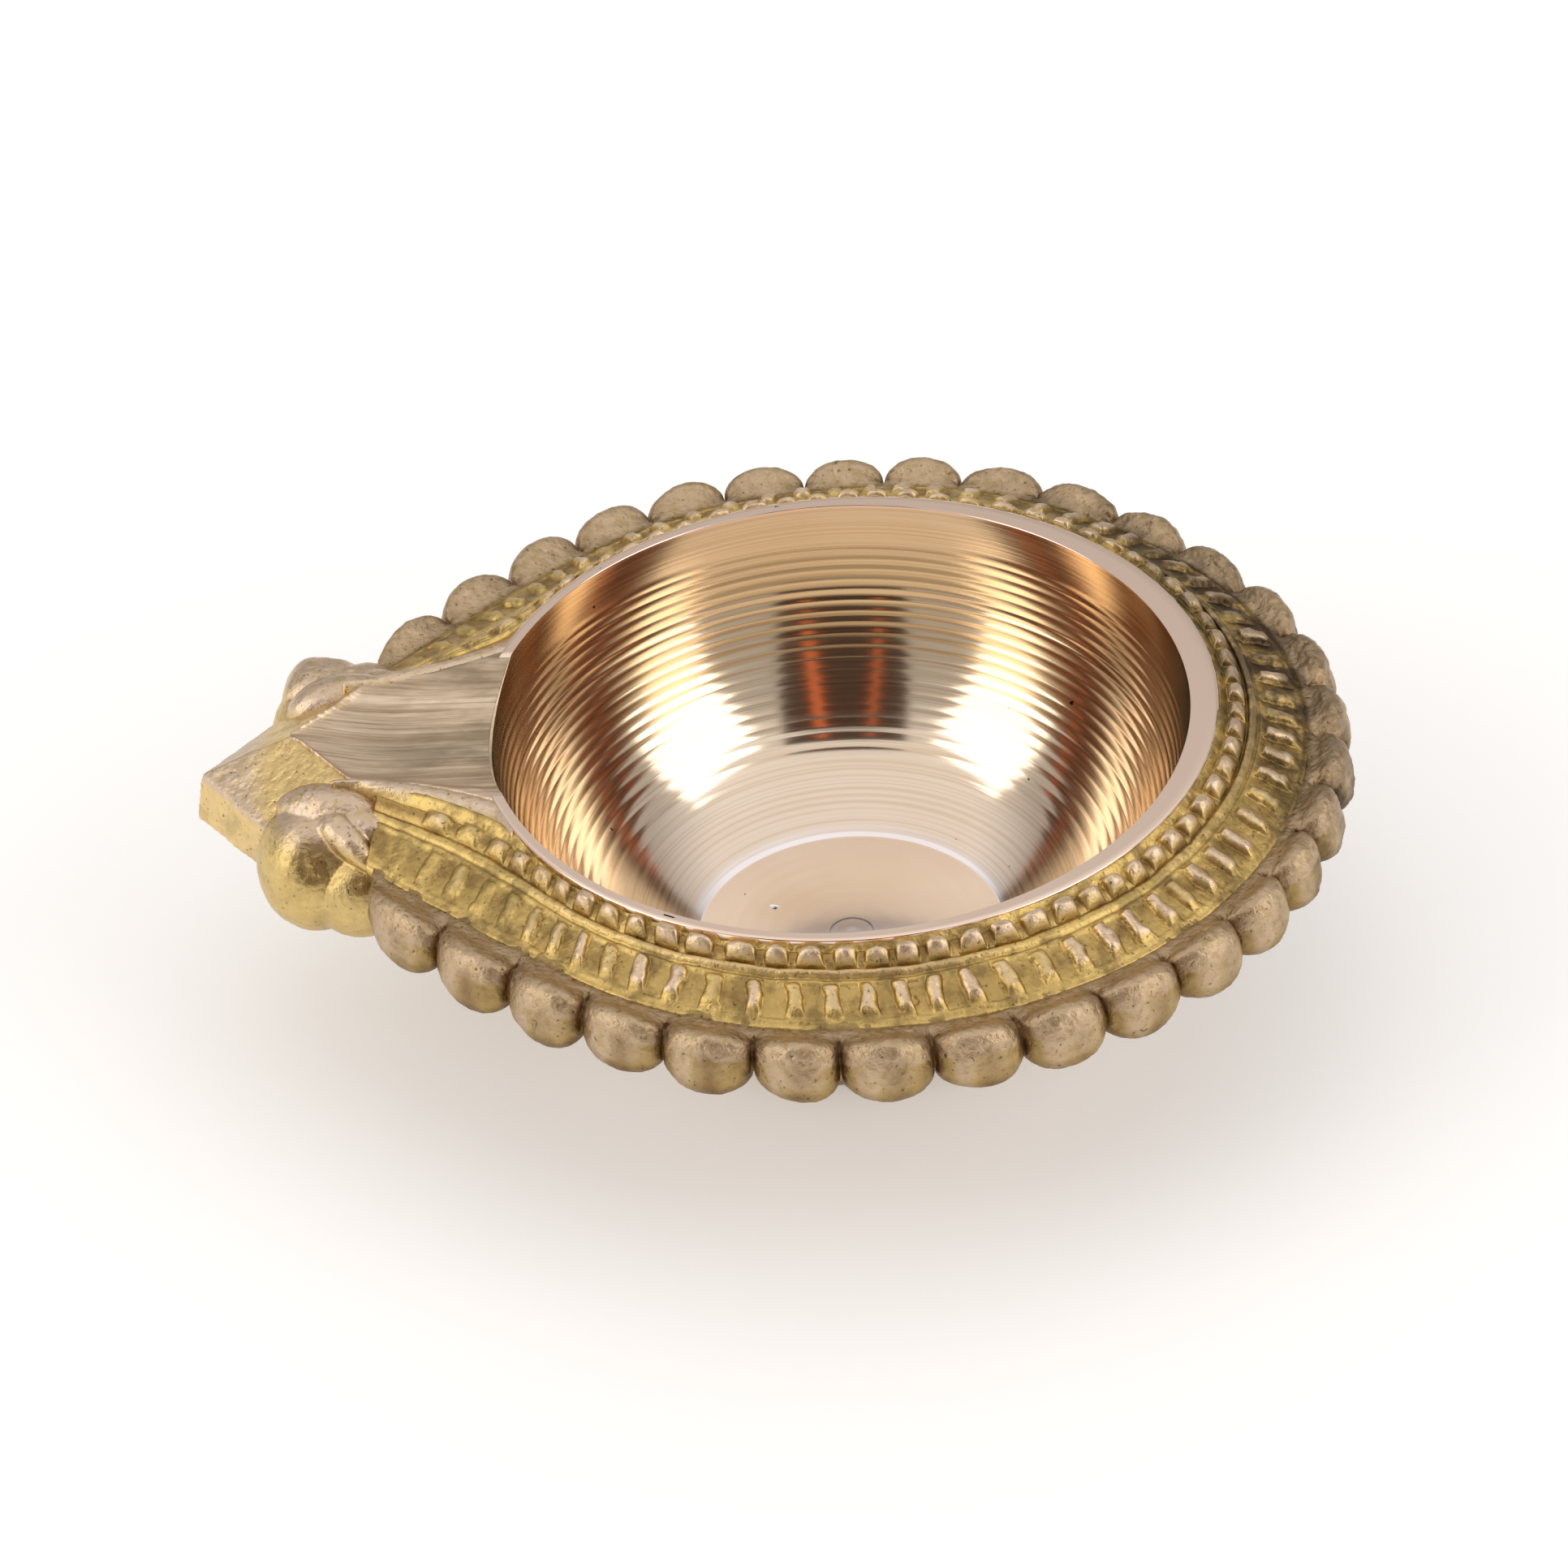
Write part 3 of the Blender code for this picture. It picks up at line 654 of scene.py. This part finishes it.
def make_bowl():
    columns = 720
    turn = np.linspace(0, TAU, columns, endpoint=False)[None, :]
    floor, dark = bowl_floor(turn)
    skin = np.concatenate([floor, bowl_wall(turn), bowl_land(turn), bowl_outside(turn)])
    # The wick channel dips the rim
    side = np.abs(skin[..., 1])
    spout = (skin[..., 0] < SPOUT_FROM) & (side < MOUTH_HALF)
    dip = RIM - channel_below(skin[..., 1]) - 0.12 * smooth(MOUTH_HALF, MOUTH_HALF - 1.5, side)
    skin[..., 2] = np.where(spout & (skin[..., 2] > dip), dip, skin[..., 2])
    rows = len(skin)
    centres = [(0, 0, skin[0, :, 2].mean()), (0, 0, skin[-1, 0, 2])]
    points = np.concatenate([skin.reshape(-1, 3), centres])
    faces = [grid_faces(rows, columns, wrap_columns=True),
             fan_cap(np.arange(columns), rows * columns, True),
             fan_cap((rows - 1) * columns + np.arange(columns), rows * columns + 1)]
    marks = np.zeros(len(points))
    marks[:dark.size] = dark.ravel()
    add_piece("bowl_turned", points, faces, {"grime_and_painted_shade": marks}, turned, "bowl")


make_bowl()


# ---------------------------------------------------------------- collar and its rows
band("collar_edge", "collar", -0.02, 0.062, 12, 2.6)
band("beads_cast", "bead_row", 0.060, 0.172, 26, 1.2, 1.008)
band("ridge_cast", "ridge_row", 0.170, 0.258, 18, 1.2, 1.008)
band("ribs_cast", "rib_row", 0.256, 0.600, 44, 1.6, 1.006)

# Section of a lobe at its middle: (share of the ring's width, mm below the rim)
LOBE_LINE = np.array([
    (0.53, 3.6), (0.60, 3.75), (0.68, 3.55), (0.75, 3.15), (0.81, 2.72), (0.86, 2.62),
    (0.905, 2.9), (0.945, 3.7), (0.972, 4.8), (0.99, 6.0), (0.985, 7.0), (0.955, 7.9),
    (0.89, 8.5), (0.80, 8.6), (0.70, 8.2), (0.60, 7.3), (0.53, 6.3), (0.50, 5.0),
])
LOBE_HEART = (0.56, 5.6)        # a crease is the section drawn in towards this place
CREASE_SHARE, CREASE_DEPTH = 0.55, 0.36
LOBE_SIZE, LOBE_SKEW = 0.05, 0.06


def closed_curve(points, count):
    """Evenly spaced points of a smooth closed curve through the given ones (Catmull-Rom)."""
    p0, p1, p2, p3 = (np.roll(points, k, 0) for k in (1, 0, -1, -2))
    t = np.linspace(0, 1, 24, endpoint=False)[None, :, None]
    linear, square, cube = p2 - p0, 2 * p0 - 5 * p1 + 4 * p2 - p3, 3 * p1 - p0 - 3 * p2 + p3
    q = 0.5 * (2 * p1[:, None] + linear[:, None] * t + square[:, None] * t ** 2
               + cube[:, None] * t ** 3)
    q = q.reshape(-1, 2)
    q = np.concatenate([q, q[:1]])
    scaled = q * (RING_WIDTH, 1)
    run = np.concatenate([[0], np.cumsum(np.hypot(*np.diff(scaled, axis=0).T))])
    at = np.linspace(0, run[-1], count, endpoint=False)
    return np.stack([np.interp(at, run, q[:, 0]), np.interp(at, run, q[:, 1])], -1)


def lobe_skin(line, turn, round_up, limit):
    """The cast skin of all lobes, from the section and its fullness along the ring."""
    share, depth = line[:, 0][:, None], line[:, 1][:, None]
    outward = smooth(0.60, 0.80, share)
    size_s = mix(1.0, mix(CREASE_SHARE, 1.0, round_up) * limit, outward)
    size_d = mix(1.0, mix(CREASE_DEPTH, 1.0, round_up) * limit, outward)
    s = mix(LOBE_HEART[0], share, size_s)
    d = mix(LOBE_HEART[1], depth, size_d)
    x, y = ring_plan(s, turn)
    points = xyz(x, y, RIM - d)
    # Push the skin in and out along its own normal for the cast surface, more on the right
    along = np.roll(points, -1, 0) - np.roll(points, 1, 0)
    normal = np.cross(along, np.gradient(points, axis=1))
    normal /= np.linalg.norm(normal, axis=-1, keepdims=True) + 1e-12
    middle = points.mean(0, keepdims=True)
    if np.einsum("ijk,ijk->ij", normal, points - middle).mean() < 0:
        normal = -normal
    rougher = 1.2 + 0.9 * smooth(20, 36, points @ np.array((0.92, 0.40, 0)))
    return points + normal * (rougher * cast_skin(points, 1.0, 40))[..., None]


def lobe_marks(line, phase, index, round_up):
    """How rubbed each place is, with a painted highlight, and how dark: painted shade in the creases and
    low down, and a painted reflection on each face.
    """
    share, depth, place = line[:, 0][:, None], line[:, 1][:, None], (phase % 1)[None, :]
    outward = smooth(0.60, 0.80, share)
    crest = bump(depth, 2.6, 1.1) * outward * round_up
    slope_up = smooth(0.57, 0.64, share) * smooth(4.6, 4.0, depth)
    belly = smooth(0.9, 0.97, share) * smooth(7.6, 5.6, depth) * (round_up ** 3)
    drift = 0.5 + 0.5 * np.sin(phase * 2.4)[None, :]
    wear_and_highlight = np.clip(0.9 * crest + 0.75 * slope_up + (0.35 + 0.5 * drift) * belly, 0, 1)
    # Painted shade: darker in the creases between lobes, towards each lobe's bottom and in the valley
    # inside the crest
    grime_and_painted_shade = (1 - round_up) ** 1.2 * smooth(0.56, 0.72, share) + 0.55 * smooth(6.4, 8.4, depth)
    grime_and_painted_shade = np.clip(grime_and_painted_shade + 0.5 * bump(share, 0.60, 0.06) * smooth(5.0, 4.4, depth), 0, 1)
    # A painted reflection on the outer face of each lobe: a dark patch in the middle and a painted
    # highlight to its left
    face = smooth(0.92, 0.97, share) * smooth(3.0, 4.2, depth)
    painted_dark_reflection = np.random.default_rng(8).uniform(0.25, 0.75, LOBES)[index][None, :]
    grime_and_painted_shade = np.clip(grime_and_painted_shade + painted_dark_reflection * face * bump(place, 0.56, 0.22), 0, 1)
    wear_and_highlight = np.clip(wear_and_highlight + 0.6 * face * bump(place, 0.26, 0.18), 0, 1)
    return wear_and_highlight, grime_and_painted_shade


def make_lobes():
    around, per_lobe = 120, 64
    columns = LOBES * per_lobe + 1
    line = closed_curve(LOBE_LINE, around)
    phase_at = np.linspace(-1, 1, 4001)
    turn = np.interp(np.linspace(0, LOBES, columns), lobe_phase(phase_at), phase_at)
    phase = lobe_phase(turn)
    place = phase % 1
    index = np.minimum(phase.astype(int), LOBES - 1)
    sizes = 1 + LOBE_SIZE * rng.uniform(-1, 1, LOBES)[index]
    skew = LOBE_SKEW * rng.uniform(-1, 1, LOBES)[index]
    across = np.clip(np.abs((place - 0.5 - skew * np.sin(math.pi * place)) * 2), 0, 1)
    round_up = np.sqrt(np.clip(1 - across ** 2.0, 0, 1))[None, :]
    points = lobe_skin(line, turn[None, :], round_up, np.minimum(sizes, 1.0)[None, :])
    wear_and_highlight, grime_and_painted_shade = lobe_marks(line, phase, index, round_up)
    flat = np.concatenate([points.reshape(-1, 3), [points[:, 0].mean(0), points[:, -1].mean(0)]])
    ring = np.arange(around) * columns
    faces = [grid_faces(around, columns, wrap_rows=True),
             fan_cap(ring, around * columns),
             fan_cap(ring + columns - 1, around * columns + 1, True)]
    marks = {"wear_and_highlight": np.concatenate([wear_and_highlight.ravel(), [0, 0]]),
             "grime_and_painted_shade": np.concatenate([grime_and_painted_shade.ravel(), [1, 1]])}
    add_piece("lobes_cast", flat, faces, marks, lobe_cast, "lobe_rim")


make_lobes()


# ---------------------------------------------------------------- spout pieces grown from solids
def work_object(points, faces):
    """A rough shape, in metres, for grow to finish."""
    mesh = bpy.data.meshes.new("work")
    mesh.from_pydata(points.tolist(), [], faces)
    obj = bpy.data.objects.new("work", mesh)
    bpy.context.scene.collection.objects.link(obj)
    return obj


def copy_of(node):
    """A work object with the shape of a CAD node."""
    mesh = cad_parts[node].data
    faces = [tuple(p.vertices) for p in mesh.polygons]
    return work_object(np.array([v.co for v in mesh.vertices]), faces)


def grow(obj, name, voxel, soften, skin, seed, material, node, wear_and_highlight_by, carve=None, painted_shadow_by=None):
    """Voxel remesh, smooth and displace a rough shape, then keep it as a finished piece."""
    remesh = obj.modifiers.new("remesh", "REMESH")
    remesh.mode = "VOXEL"
    remesh.voxel_size = voxel * MM
    relax = obj.modifiers.new("relax", "SMOOTH")
    relax.factor, relax.iterations = 0.5, soften
    graph = bpy.context.evaluated_depsgraph_get()
    mesh = bpy.data.meshes.new_from_object(obj.evaluated_get(graph))
    bpy.data.objects.remove(obj, do_unlink=True)
    count = len(mesh.vertices)
    co, normal = np.empty(count * 3, np.float32), np.empty(count * 3, np.float32)
    mesh.vertices.foreach_get("co", co)
    mesh.vertex_normals.foreach_get("vector", normal)
    co, normal = co.reshape(-1, 3).astype(float) / MM, normal.reshape(-1, 3)
    if carve:
        co = carve(co)
    co = co + normal * cast_skin(co, skin, seed)[:, None]
    co = np.clip(co, BOX_LOW, BOX_HIGH)
    mesh.vertices.foreach_set("co", (co * MM).astype(np.float32).ravel())
    mesh.polygons.foreach_set("use_smooth", np.ones(len(mesh.polygons), bool))
    layer = mesh.attributes.new("wear_and_highlight", "FLOAT", "POINT")
    layer.data.foreach_set("value", wear_and_highlight_by(co, normal).astype(np.float32))
    # A painted shadow, where one is given (the eye sockets)
    if painted_shadow_by:
        layer = mesh.attributes.new("grime_and_painted_shade", "FLOAT", "POINT")
        layer.data.foreach_set("value", painted_shadow_by(co).astype(np.float32))
    mesh.update()
    mesh.name = name
    piece = bpy.data.objects.new(name, mesh)
    bpy.context.scene.collection.objects.link(piece)
    finish_piece(piece, material, node)


def worn_tops(co, normal):
    return np.clip(0.15 + 0.8 * normal[:, 2] * smooth(RIM - 3.0, RIM - 0.5, co[:, 2]), 0, 1)


def half_width(x):
    """Half width of the channel at a distance x from the bowl's axis."""
    wide = mix(WAIST_HALF, MOUTH_HALF, np.clip(1 - (x - MOUTH_R) / (WAIST_X - MOUTH_R), 0, 1.2) ** 1.6)
    point = WAIST_HALF * (V_TIP_X - x) / (V_TIP_X - WAIST_X)
    return np.where(x <= WAIST_X, wide, np.clip(point, 0.02, None))


def outer_edge(x):
    """Distance from the middle plane to the ring's base curve beside the channel."""
    turn = np.linspace(-1.04, -0.75, 400)
    bx, by = ring_plan(0.0, turn)
    return np.interp(-np.asarray(x, float), bx, -by)


def lofted(sections):
    """A closed shape through equal closed sections, capped at both ends."""
    sections = np.asarray(sections, float)
    rows, columns = sections.shape[:2]
    points = np.concatenate([sections.reshape(-1, 3), [sections[0].mean(0)], [sections[-1].mean(0)]])
    ring, last = np.arange(columns), (rows - 1) * columns
    faces = [tuple(f) for f in grid_faces(rows, columns, wrap_columns=True)]
    faces += [tuple(f) for f in fan_cap(ring, rows * columns, True)]
    faces += [tuple(f) for f in fan_cap(last + ring, rows * columns + 1)]
    return points, faces


def blob(centre, half, tilt=0.0, power=2.0):
    """A closed rounded solid: an ellipsoid, or a squarer one for a higher power."""
    u = np.linspace(0, math.pi, 26)[:, None]
    v = np.linspace(0, TAU, 40, endpoint=False)[None, :]
    d = xyz(np.sin(u) * np.cos(v), np.sin(u) * np.sin(v), np.cos(u) + 0 * v)
    d = d / (np.abs(d) ** power).sum(-1, keepdims=True) ** (1 / power) * half
    c, q = math.cos(tilt), math.sin(tilt)
    d = xyz(d[..., 0] * c - d[..., 1] * q, d[..., 0] * q + d[..., 1] * c, d[..., 2]) + centre
    return lofted(d)


def horn(line, sizes):
    """A closed round taper along a line of points."""
    line = np.asarray(line, float)
    rings = []
    for k, point in enumerate(line):
        along = line[min(k + 1, len(line) - 1)] - line[max(k - 1, 0)]
        along /= np.linalg.norm(along)
        flat = np.cross(along, (0, 0, 1.0))
        flat /= np.linalg.norm(flat)
        up = np.cross(flat, along)
        a = np.linspace(0, TAU, 20, endpoint=False)[:, None]
        rings.append(point + (flat * np.cos(a) + up * np.sin(a)) * sizes[k])
    return lofted(rings)


def solid(parts, mirror=False, at=(0, 0, 0)):
    """One work object from several closed shapes (mm); the voxel remesh makes them one."""
    points, faces, start = [], [], 0
    for co, made in parts:
        co = np.array(co, float) + at
        if mirror:
            co[:, 1] *= -1
        points.append(co)
        faces += [tuple(start + i for i in (f[::-1] if mirror else f)) for f in made]
        start += len(co)
    return work_object(np.concatenate(points) * MM, faces)


def neck_parts():
    """The raised crest between channel and ring (near side), from the mouth to the head."""
    sections = []
    for x in np.linspace(MOUTH_R - 2.8, WAIST_X + 1.6, 30):
        beside = math.sqrt(max(0.0, (MOUTH_R + 0.5) ** 2 - x * x))
        inner = max(float(half_width(min(x, WAIST_X))) - 0.1, beside)
        outer = max(float(outer_edge(min(x, WAIST_X - 0.8))) + 0.85, inner + 1.4)
        crest = min(inner + 1.35, outer - 0.3)
        back = 1.1 * smooth(WAIST_X - 2.8, WAIST_X + 1.7, x)
        shape = [(inner - 0.3, 5.5), (inner - 0.3, 0.8), (inner, 0.5), (inner + 0.35, 0.2),
                 (inner + 0.7, 0.06), (crest, 0.08 + back), (mix(crest, outer, 0.5), 0.5 + back),
                 (outer, 1.2 + back), (outer + 0.3, 5.5)]
        sections.append([(-x, -y, RIM - below) for y, below in shape])
    return [lofted(sections)]


def head_parts(far):
    """The near bird head, about HEAD_AT. The far one, mirrored, has a squarer block added."""
    beak = horn([(0.7, -0.1, -3.2), (2.1, -1.5, -3.0), (3.4, -2.9, -3.4), (4.5, -4.1, -4.1),
                 (5.3, -4.9, -4.8)], (1.6, 1.75, 1.45, 1.0, 0.45))
    head = blob((0.0, 0.0, -7.6), (5.3, 5.2, 5.7), 0.35, 2.15)
    crown = blob((1.4, 1.1, -3.2), (4.9, 2.5, 2.75), -0.25)
    breast = blob((3.7, -2.4, -8.5), (4.5, 3.8, 4.3), 0.1, 2.1)
    cheek = blob((4.0, -0.8, -3.9), (3.4, 2.2, 2.5), -0.3)
    parts = [head, crown, breast, beak, cheek]
    if far:
        parts.append(blob((-0.5, -1.8, -6.0), (3.7, 3.5, 4.7), 0.2, 3.0))
    return parts


def eye_socket(co, side):
    """1 in the middle of the eye socket, falling to 0 around it."""
    away = (co - np.array((HEAD_AT[0] + 0.5, side * 12.6, RIM - 4.7))) / (1.4, 1.6, 1.7)
    return np.exp(-(away ** 2).sum(1))


def eye_hollow(co, side):
    """Pushes in the socket below the beak."""
    inwards = np.array((-0.1, -side * 0.6, -0.7))
    return co + inwards * (0.8 * eye_socket(co, side))[:, None]


# Paler and pinker on the upward faces of the crown and beak: partly wear, partly a painted highlight
def wear_and_highlight_bird(co, normal):
    top = smooth(RIM - 4.6, RIM - 1.4, co[:, 2])
    return np.clip(0.1 + 0.95 * top * np.clip(0.35 + 0.65 * normal[:, 2], 0, 1), 0, 1)


def worn_neck(co, normal):
    return np.clip(smooth(RIM - 0.55, RIM - 0.12, co[:, 2]) * np.clip(normal[:, 2], 0, 1), 0, 1)


def make_neck_and_head(label, side):
    far = side > 0
    grow(solid(neck_parts(), far), "neck_crest_" + label, 0.13, 2, 0.30, 62, neck_cast,
         "neck_" + label, worn_neck)
    # The eye socket is pushed in and also painted dark there: a painted shadow
    grow(solid(head_parts(far), far, HEAD_AT), "bird_head_" + label, 0.14, 5, 0.85, 64, head_cast,
         "head_" + label, wear_and_highlight_bird, lambda co: eye_hollow(co, side),
         lambda co: 0.8 * eye_socket(co, side))


make_neck_and_head("left", -1)
make_neck_and_head("right", 1)

# The nose's outline, from its top towards the bowl round to its underside: distance behind the
# tip in the middle and at the sides, half width, depth below the rim, and further fall at the sides
NOSE_LINE = (
    (9.7, 15.4, 6.9, 0.45, 0.25),
    (9.0, 14.6, 7.2, 0.55, 0.35),
    (5.0, 10.8, 7.6, 2.3, 0.35),
    (1.1, 7.1, 7.7, 4.3, 0.3),
    (0.8, 6.8, 7.6, 4.9, 0.3),
    (0.1, 6.2, 7.3, 9.0, 0.0),
    (10.0, 14.0, 5.2, 9.0, 0.0),
)


def nose_parts():
    """The pointed nose: a low roof with its ridge along the middle, and steep front faces."""
    sections = []
    for c in np.linspace(-1, 1, 17):
        a = abs(c)
        sections.append([(mix(middle, side, a) - NOSE_TIP, c * half, RIM - below - fall * a)
                         for middle, side, half, below, fall in NOSE_LINE])
    return [lofted(sections)]


def worn_nose(co, normal):
    top = smooth(RIM - 4.9, RIM - 4.2, co[:, 2]) * smooth(8.5 - NOSE_TIP, 4.0 - NOSE_TIP, co[:, 0])
    edge = bump(co[:, 2], RIM - 4.6, 0.6) * smooth(12.0 - NOSE_TIP, 8.0 - NOSE_TIP, co[:, 0])
    return np.clip(0.75 * top + 0.7 * edge, 0, 1)


grow(solid(nose_parts()), "nose_cast", 0.13, 3, 0.85, 70, nose_cast, "nose", worn_nose)


def channel_parts():
    """The trough: concave, its edges against the necks and its point rising to the nose."""
    across = np.linspace(-1, 1, 41)
    trough = np.linspace(MOUTH_R - 3.0, WAIST_X, 40)
    point = np.linspace(WAIST_X + 0.4, V_TIP_X + 0.35, 16)
    sections = []
    for x in np.concatenate([trough, point]):
        half = float(half_width(np.array(min(x, V_TIP_X - 0.2)))) + 0.25
        rise = float(smooth(WAIST_X - 4.0, V_TIP_X, x))
        shallow = 0.30 + 0.45 * (1 - across ** 2) * (half / 7)
        floor = mix(channel_below(across * half), shallow, rise * 0.92)
        edge = 0.55 * smooth(0.80, 1.0, np.abs(across)) * (1 - 0.4 * rise)
        top = [(-x, y, z) for y, z in zip(across * half, RIM - np.maximum(floor - edge, 0.12))]
        under = [(-x, y, RIM - 4.0) for y in (across * half)[::-1]]
        sections.append(top + under)
    return [lofted(sections)]


def clear_of_bowl(co):
    """Holds the trough's inner end just outside the bowl's mouth."""
    r = np.hypot(co[:, 0], co[:, 1])
    push = np.clip((MOUTH_R + 0.02) / np.maximum(r, 1e-6), 1, None)
    return co * np.stack([push, push, np.ones_like(push)], -1)


grow(solid(channel_parts()), "channel_brushed", 0.13, 2, 0.12, 80, channel_brass, "wick_channel",
     worn_tops, clear_of_bowl)


def meet_bowl(co):
    """Lifts the foot's inner top over the CAD's gap, so that it meets the bowl."""
    top, reach = co[:, 2].max(), np.hypot(co[:, 0], co[:, 1])
    inner = smooth(reach.max() - 0.3, reach.max() - 1.6, reach)
    return co + np.array((0, 0, 0.5)) * (inner * smooth(top - 1.6, top - 0.3, co[:, 2]))[:, None]


grow(copy_of("foot"), "foot_cast", 0.3, 3, 0.8, 90, foot_cast, "foot", worn_tops, meet_bowl)


# ---------------------------------------------------------------- studio
def make_plane(name, corners, material):
    mesh = bpy.data.meshes.new(name)
    mesh.from_pydata([tuple(c) for c in corners], [], [(0, 1, 2, 3)])
    obj = bpy.data.objects.new(name, mesh)
    bpy.context.scene.collection.objects.link(obj)
    obj.data.materials.append(material)


def paper(name, colour, rough, glow=0.0):
    material = bpy.data.materials.new(name)
    material.use_nodes = True
    shader = material.node_tree.nodes["Principled BSDF"]
    shader.inputs["Base Color"].default_value = (*colour, 1)
    shader.inputs["Roughness"].default_value = rough
    shader.inputs["Specular IOR Level"].default_value = 0.0
    shader.inputs["Emission Color"].default_value = (*colour, 1)
    shader.inputs["Emission Strength"].default_value = glow
    return material


def direction(azimuth, elevation):
    a, e = math.radians(azimuth), math.radians(elevation)
    return Vector((math.cos(a) * math.cos(e), math.sin(a) * math.cos(e), math.sin(e)))


LAMP_CENTRE = Vector((0, 0, 0.02))
CORNERS = ((-1, -1), (1, -1), (1, 1), (-1, 1))
FLOOR_HALF, FLOOR_Z = 3, -0.0001
WINDOW_AWAY, WINDOW_WHITE = 0.85, (1.0, 0.98, 0.95)


def softbox(name, azimuth, elevation, width, height, power):
    light = bpy.data.lights.new(name, "AREA")
    light.shape = "RECTANGLE"
    light.size, light.size_y = width, height
    light.energy = power
    light.color = WINDOW_WHITE
    obj = bpy.data.objects.new(name, light)
    bpy.context.scene.collection.objects.link(obj)
    towards = direction(azimuth, elevation)
    obj.location = LAMP_CENTRE + towards * WINDOW_AWAY
    obj.rotation_euler = towards.to_track_quat("Z", "Y").to_euler()


def card(name, azimuth, elevation, distance, width, height, colour, glow=0.0):
    """A studio card facing the lamp."""
    towards = direction(azimuth, elevation)
    quat = towards.to_track_quat("Z", "Y")
    middle = LAMP_CENTRE + towards * distance
    corners = [middle + quat @ Vector((sx * width / 2, sy * height / 2, 0))
               for sx, sy in CORNERS]
    make_plane(name, corners, paper(name + "_card", colour, 1.0, glow))


make_plane("floor", [(sx * FLOOR_HALF, sy * FLOOR_HALF, FLOOR_Z) for sx, sy in CORNERS],
           paper("floor_paper", (0.93, 0.93, 0.93), 0.9, 0.25))
# The polished bowl mirrors a dark card behind the camera with two thin, dimly glowing red-orange
# strips before it, and a soft window on each side.
card("flag_camera_side", -91, 33, 0.75, 0.60, 0.66, (0.07, 0.05, 0.04))
card("strip_left", -104, 34, 0.73, 0.035, 0.42, (0.42, 0.12, 0.05), 0.45)
card("strip_right", -79, 34, 0.73, 0.045, 0.42, (0.55, 0.15, 0.06), 0.55)
softbox("window_right", -23, 27, 0.55, 0.66, 2.1)
softbox("window_left", -159, 27, 0.54, 0.66, 2.0)

world = bpy.data.worlds.new("studio")
bpy.context.scene.world = world
world.use_nodes = True
sky = Nodes(world.node_tree)
height_of_sky = world.node_tree.nodes.new("ShaderNodeSeparateXYZ")
sky.link(sky.place.node.outputs["Generated"], height_of_sky.inputs[0])
sky.link(sky.ramp(height_of_sky.outputs["Z"], [(0.0, (0.80, 0.79, 0.78)), (0.12, (0.46, 0.43, 0.41)),
                                               (0.55, (0.50, 0.48, 0.46)), (0.80, (0.95, 0.93, 0.91))]),
         world.node_tree.nodes["Background"].inputs["Color"])
world.node_tree.nodes["Background"].inputs["Strength"].default_value = 1.0
bpy.context.scene.view_settings.view_transform = "Standard"

# ---------------------------------------------------------------- camera
CAMERA_AT = Vector((0.014084, -0.405718, 0.337398))
azimuth, elevation, roll = math.radians(2.7), math.radians(37.94), math.radians(-3.95)
back = Vector((math.sin(azimuth) * math.cos(elevation), -math.cos(azimuth) * math.cos(elevation),
               math.sin(elevation)))
flat_right = (-back).cross(Vector((0, 0, 1))).normalized()
flat_up = flat_right.cross(-back)
right = math.cos(roll) * flat_right + math.sin(roll) * flat_up
up = -math.sin(roll) * flat_right + math.cos(roll) * flat_up
camera_data = bpy.data.cameras.new("camera")
camera_data.sensor_width = 36
camera_data.lens = 137.28
camera_data.clip_start, camera_data.clip_end = 0.01, 20
camera = bpy.data.objects.new("camera", camera_data)
bpy.context.scene.collection.objects.link(camera)
turned_so = Matrix((right, up, back)).transposed().to_4x4()
camera.matrix_world = Matrix.Translation(CAMERA_AT) @ turned_so
bpy.context.scene.camera = camera
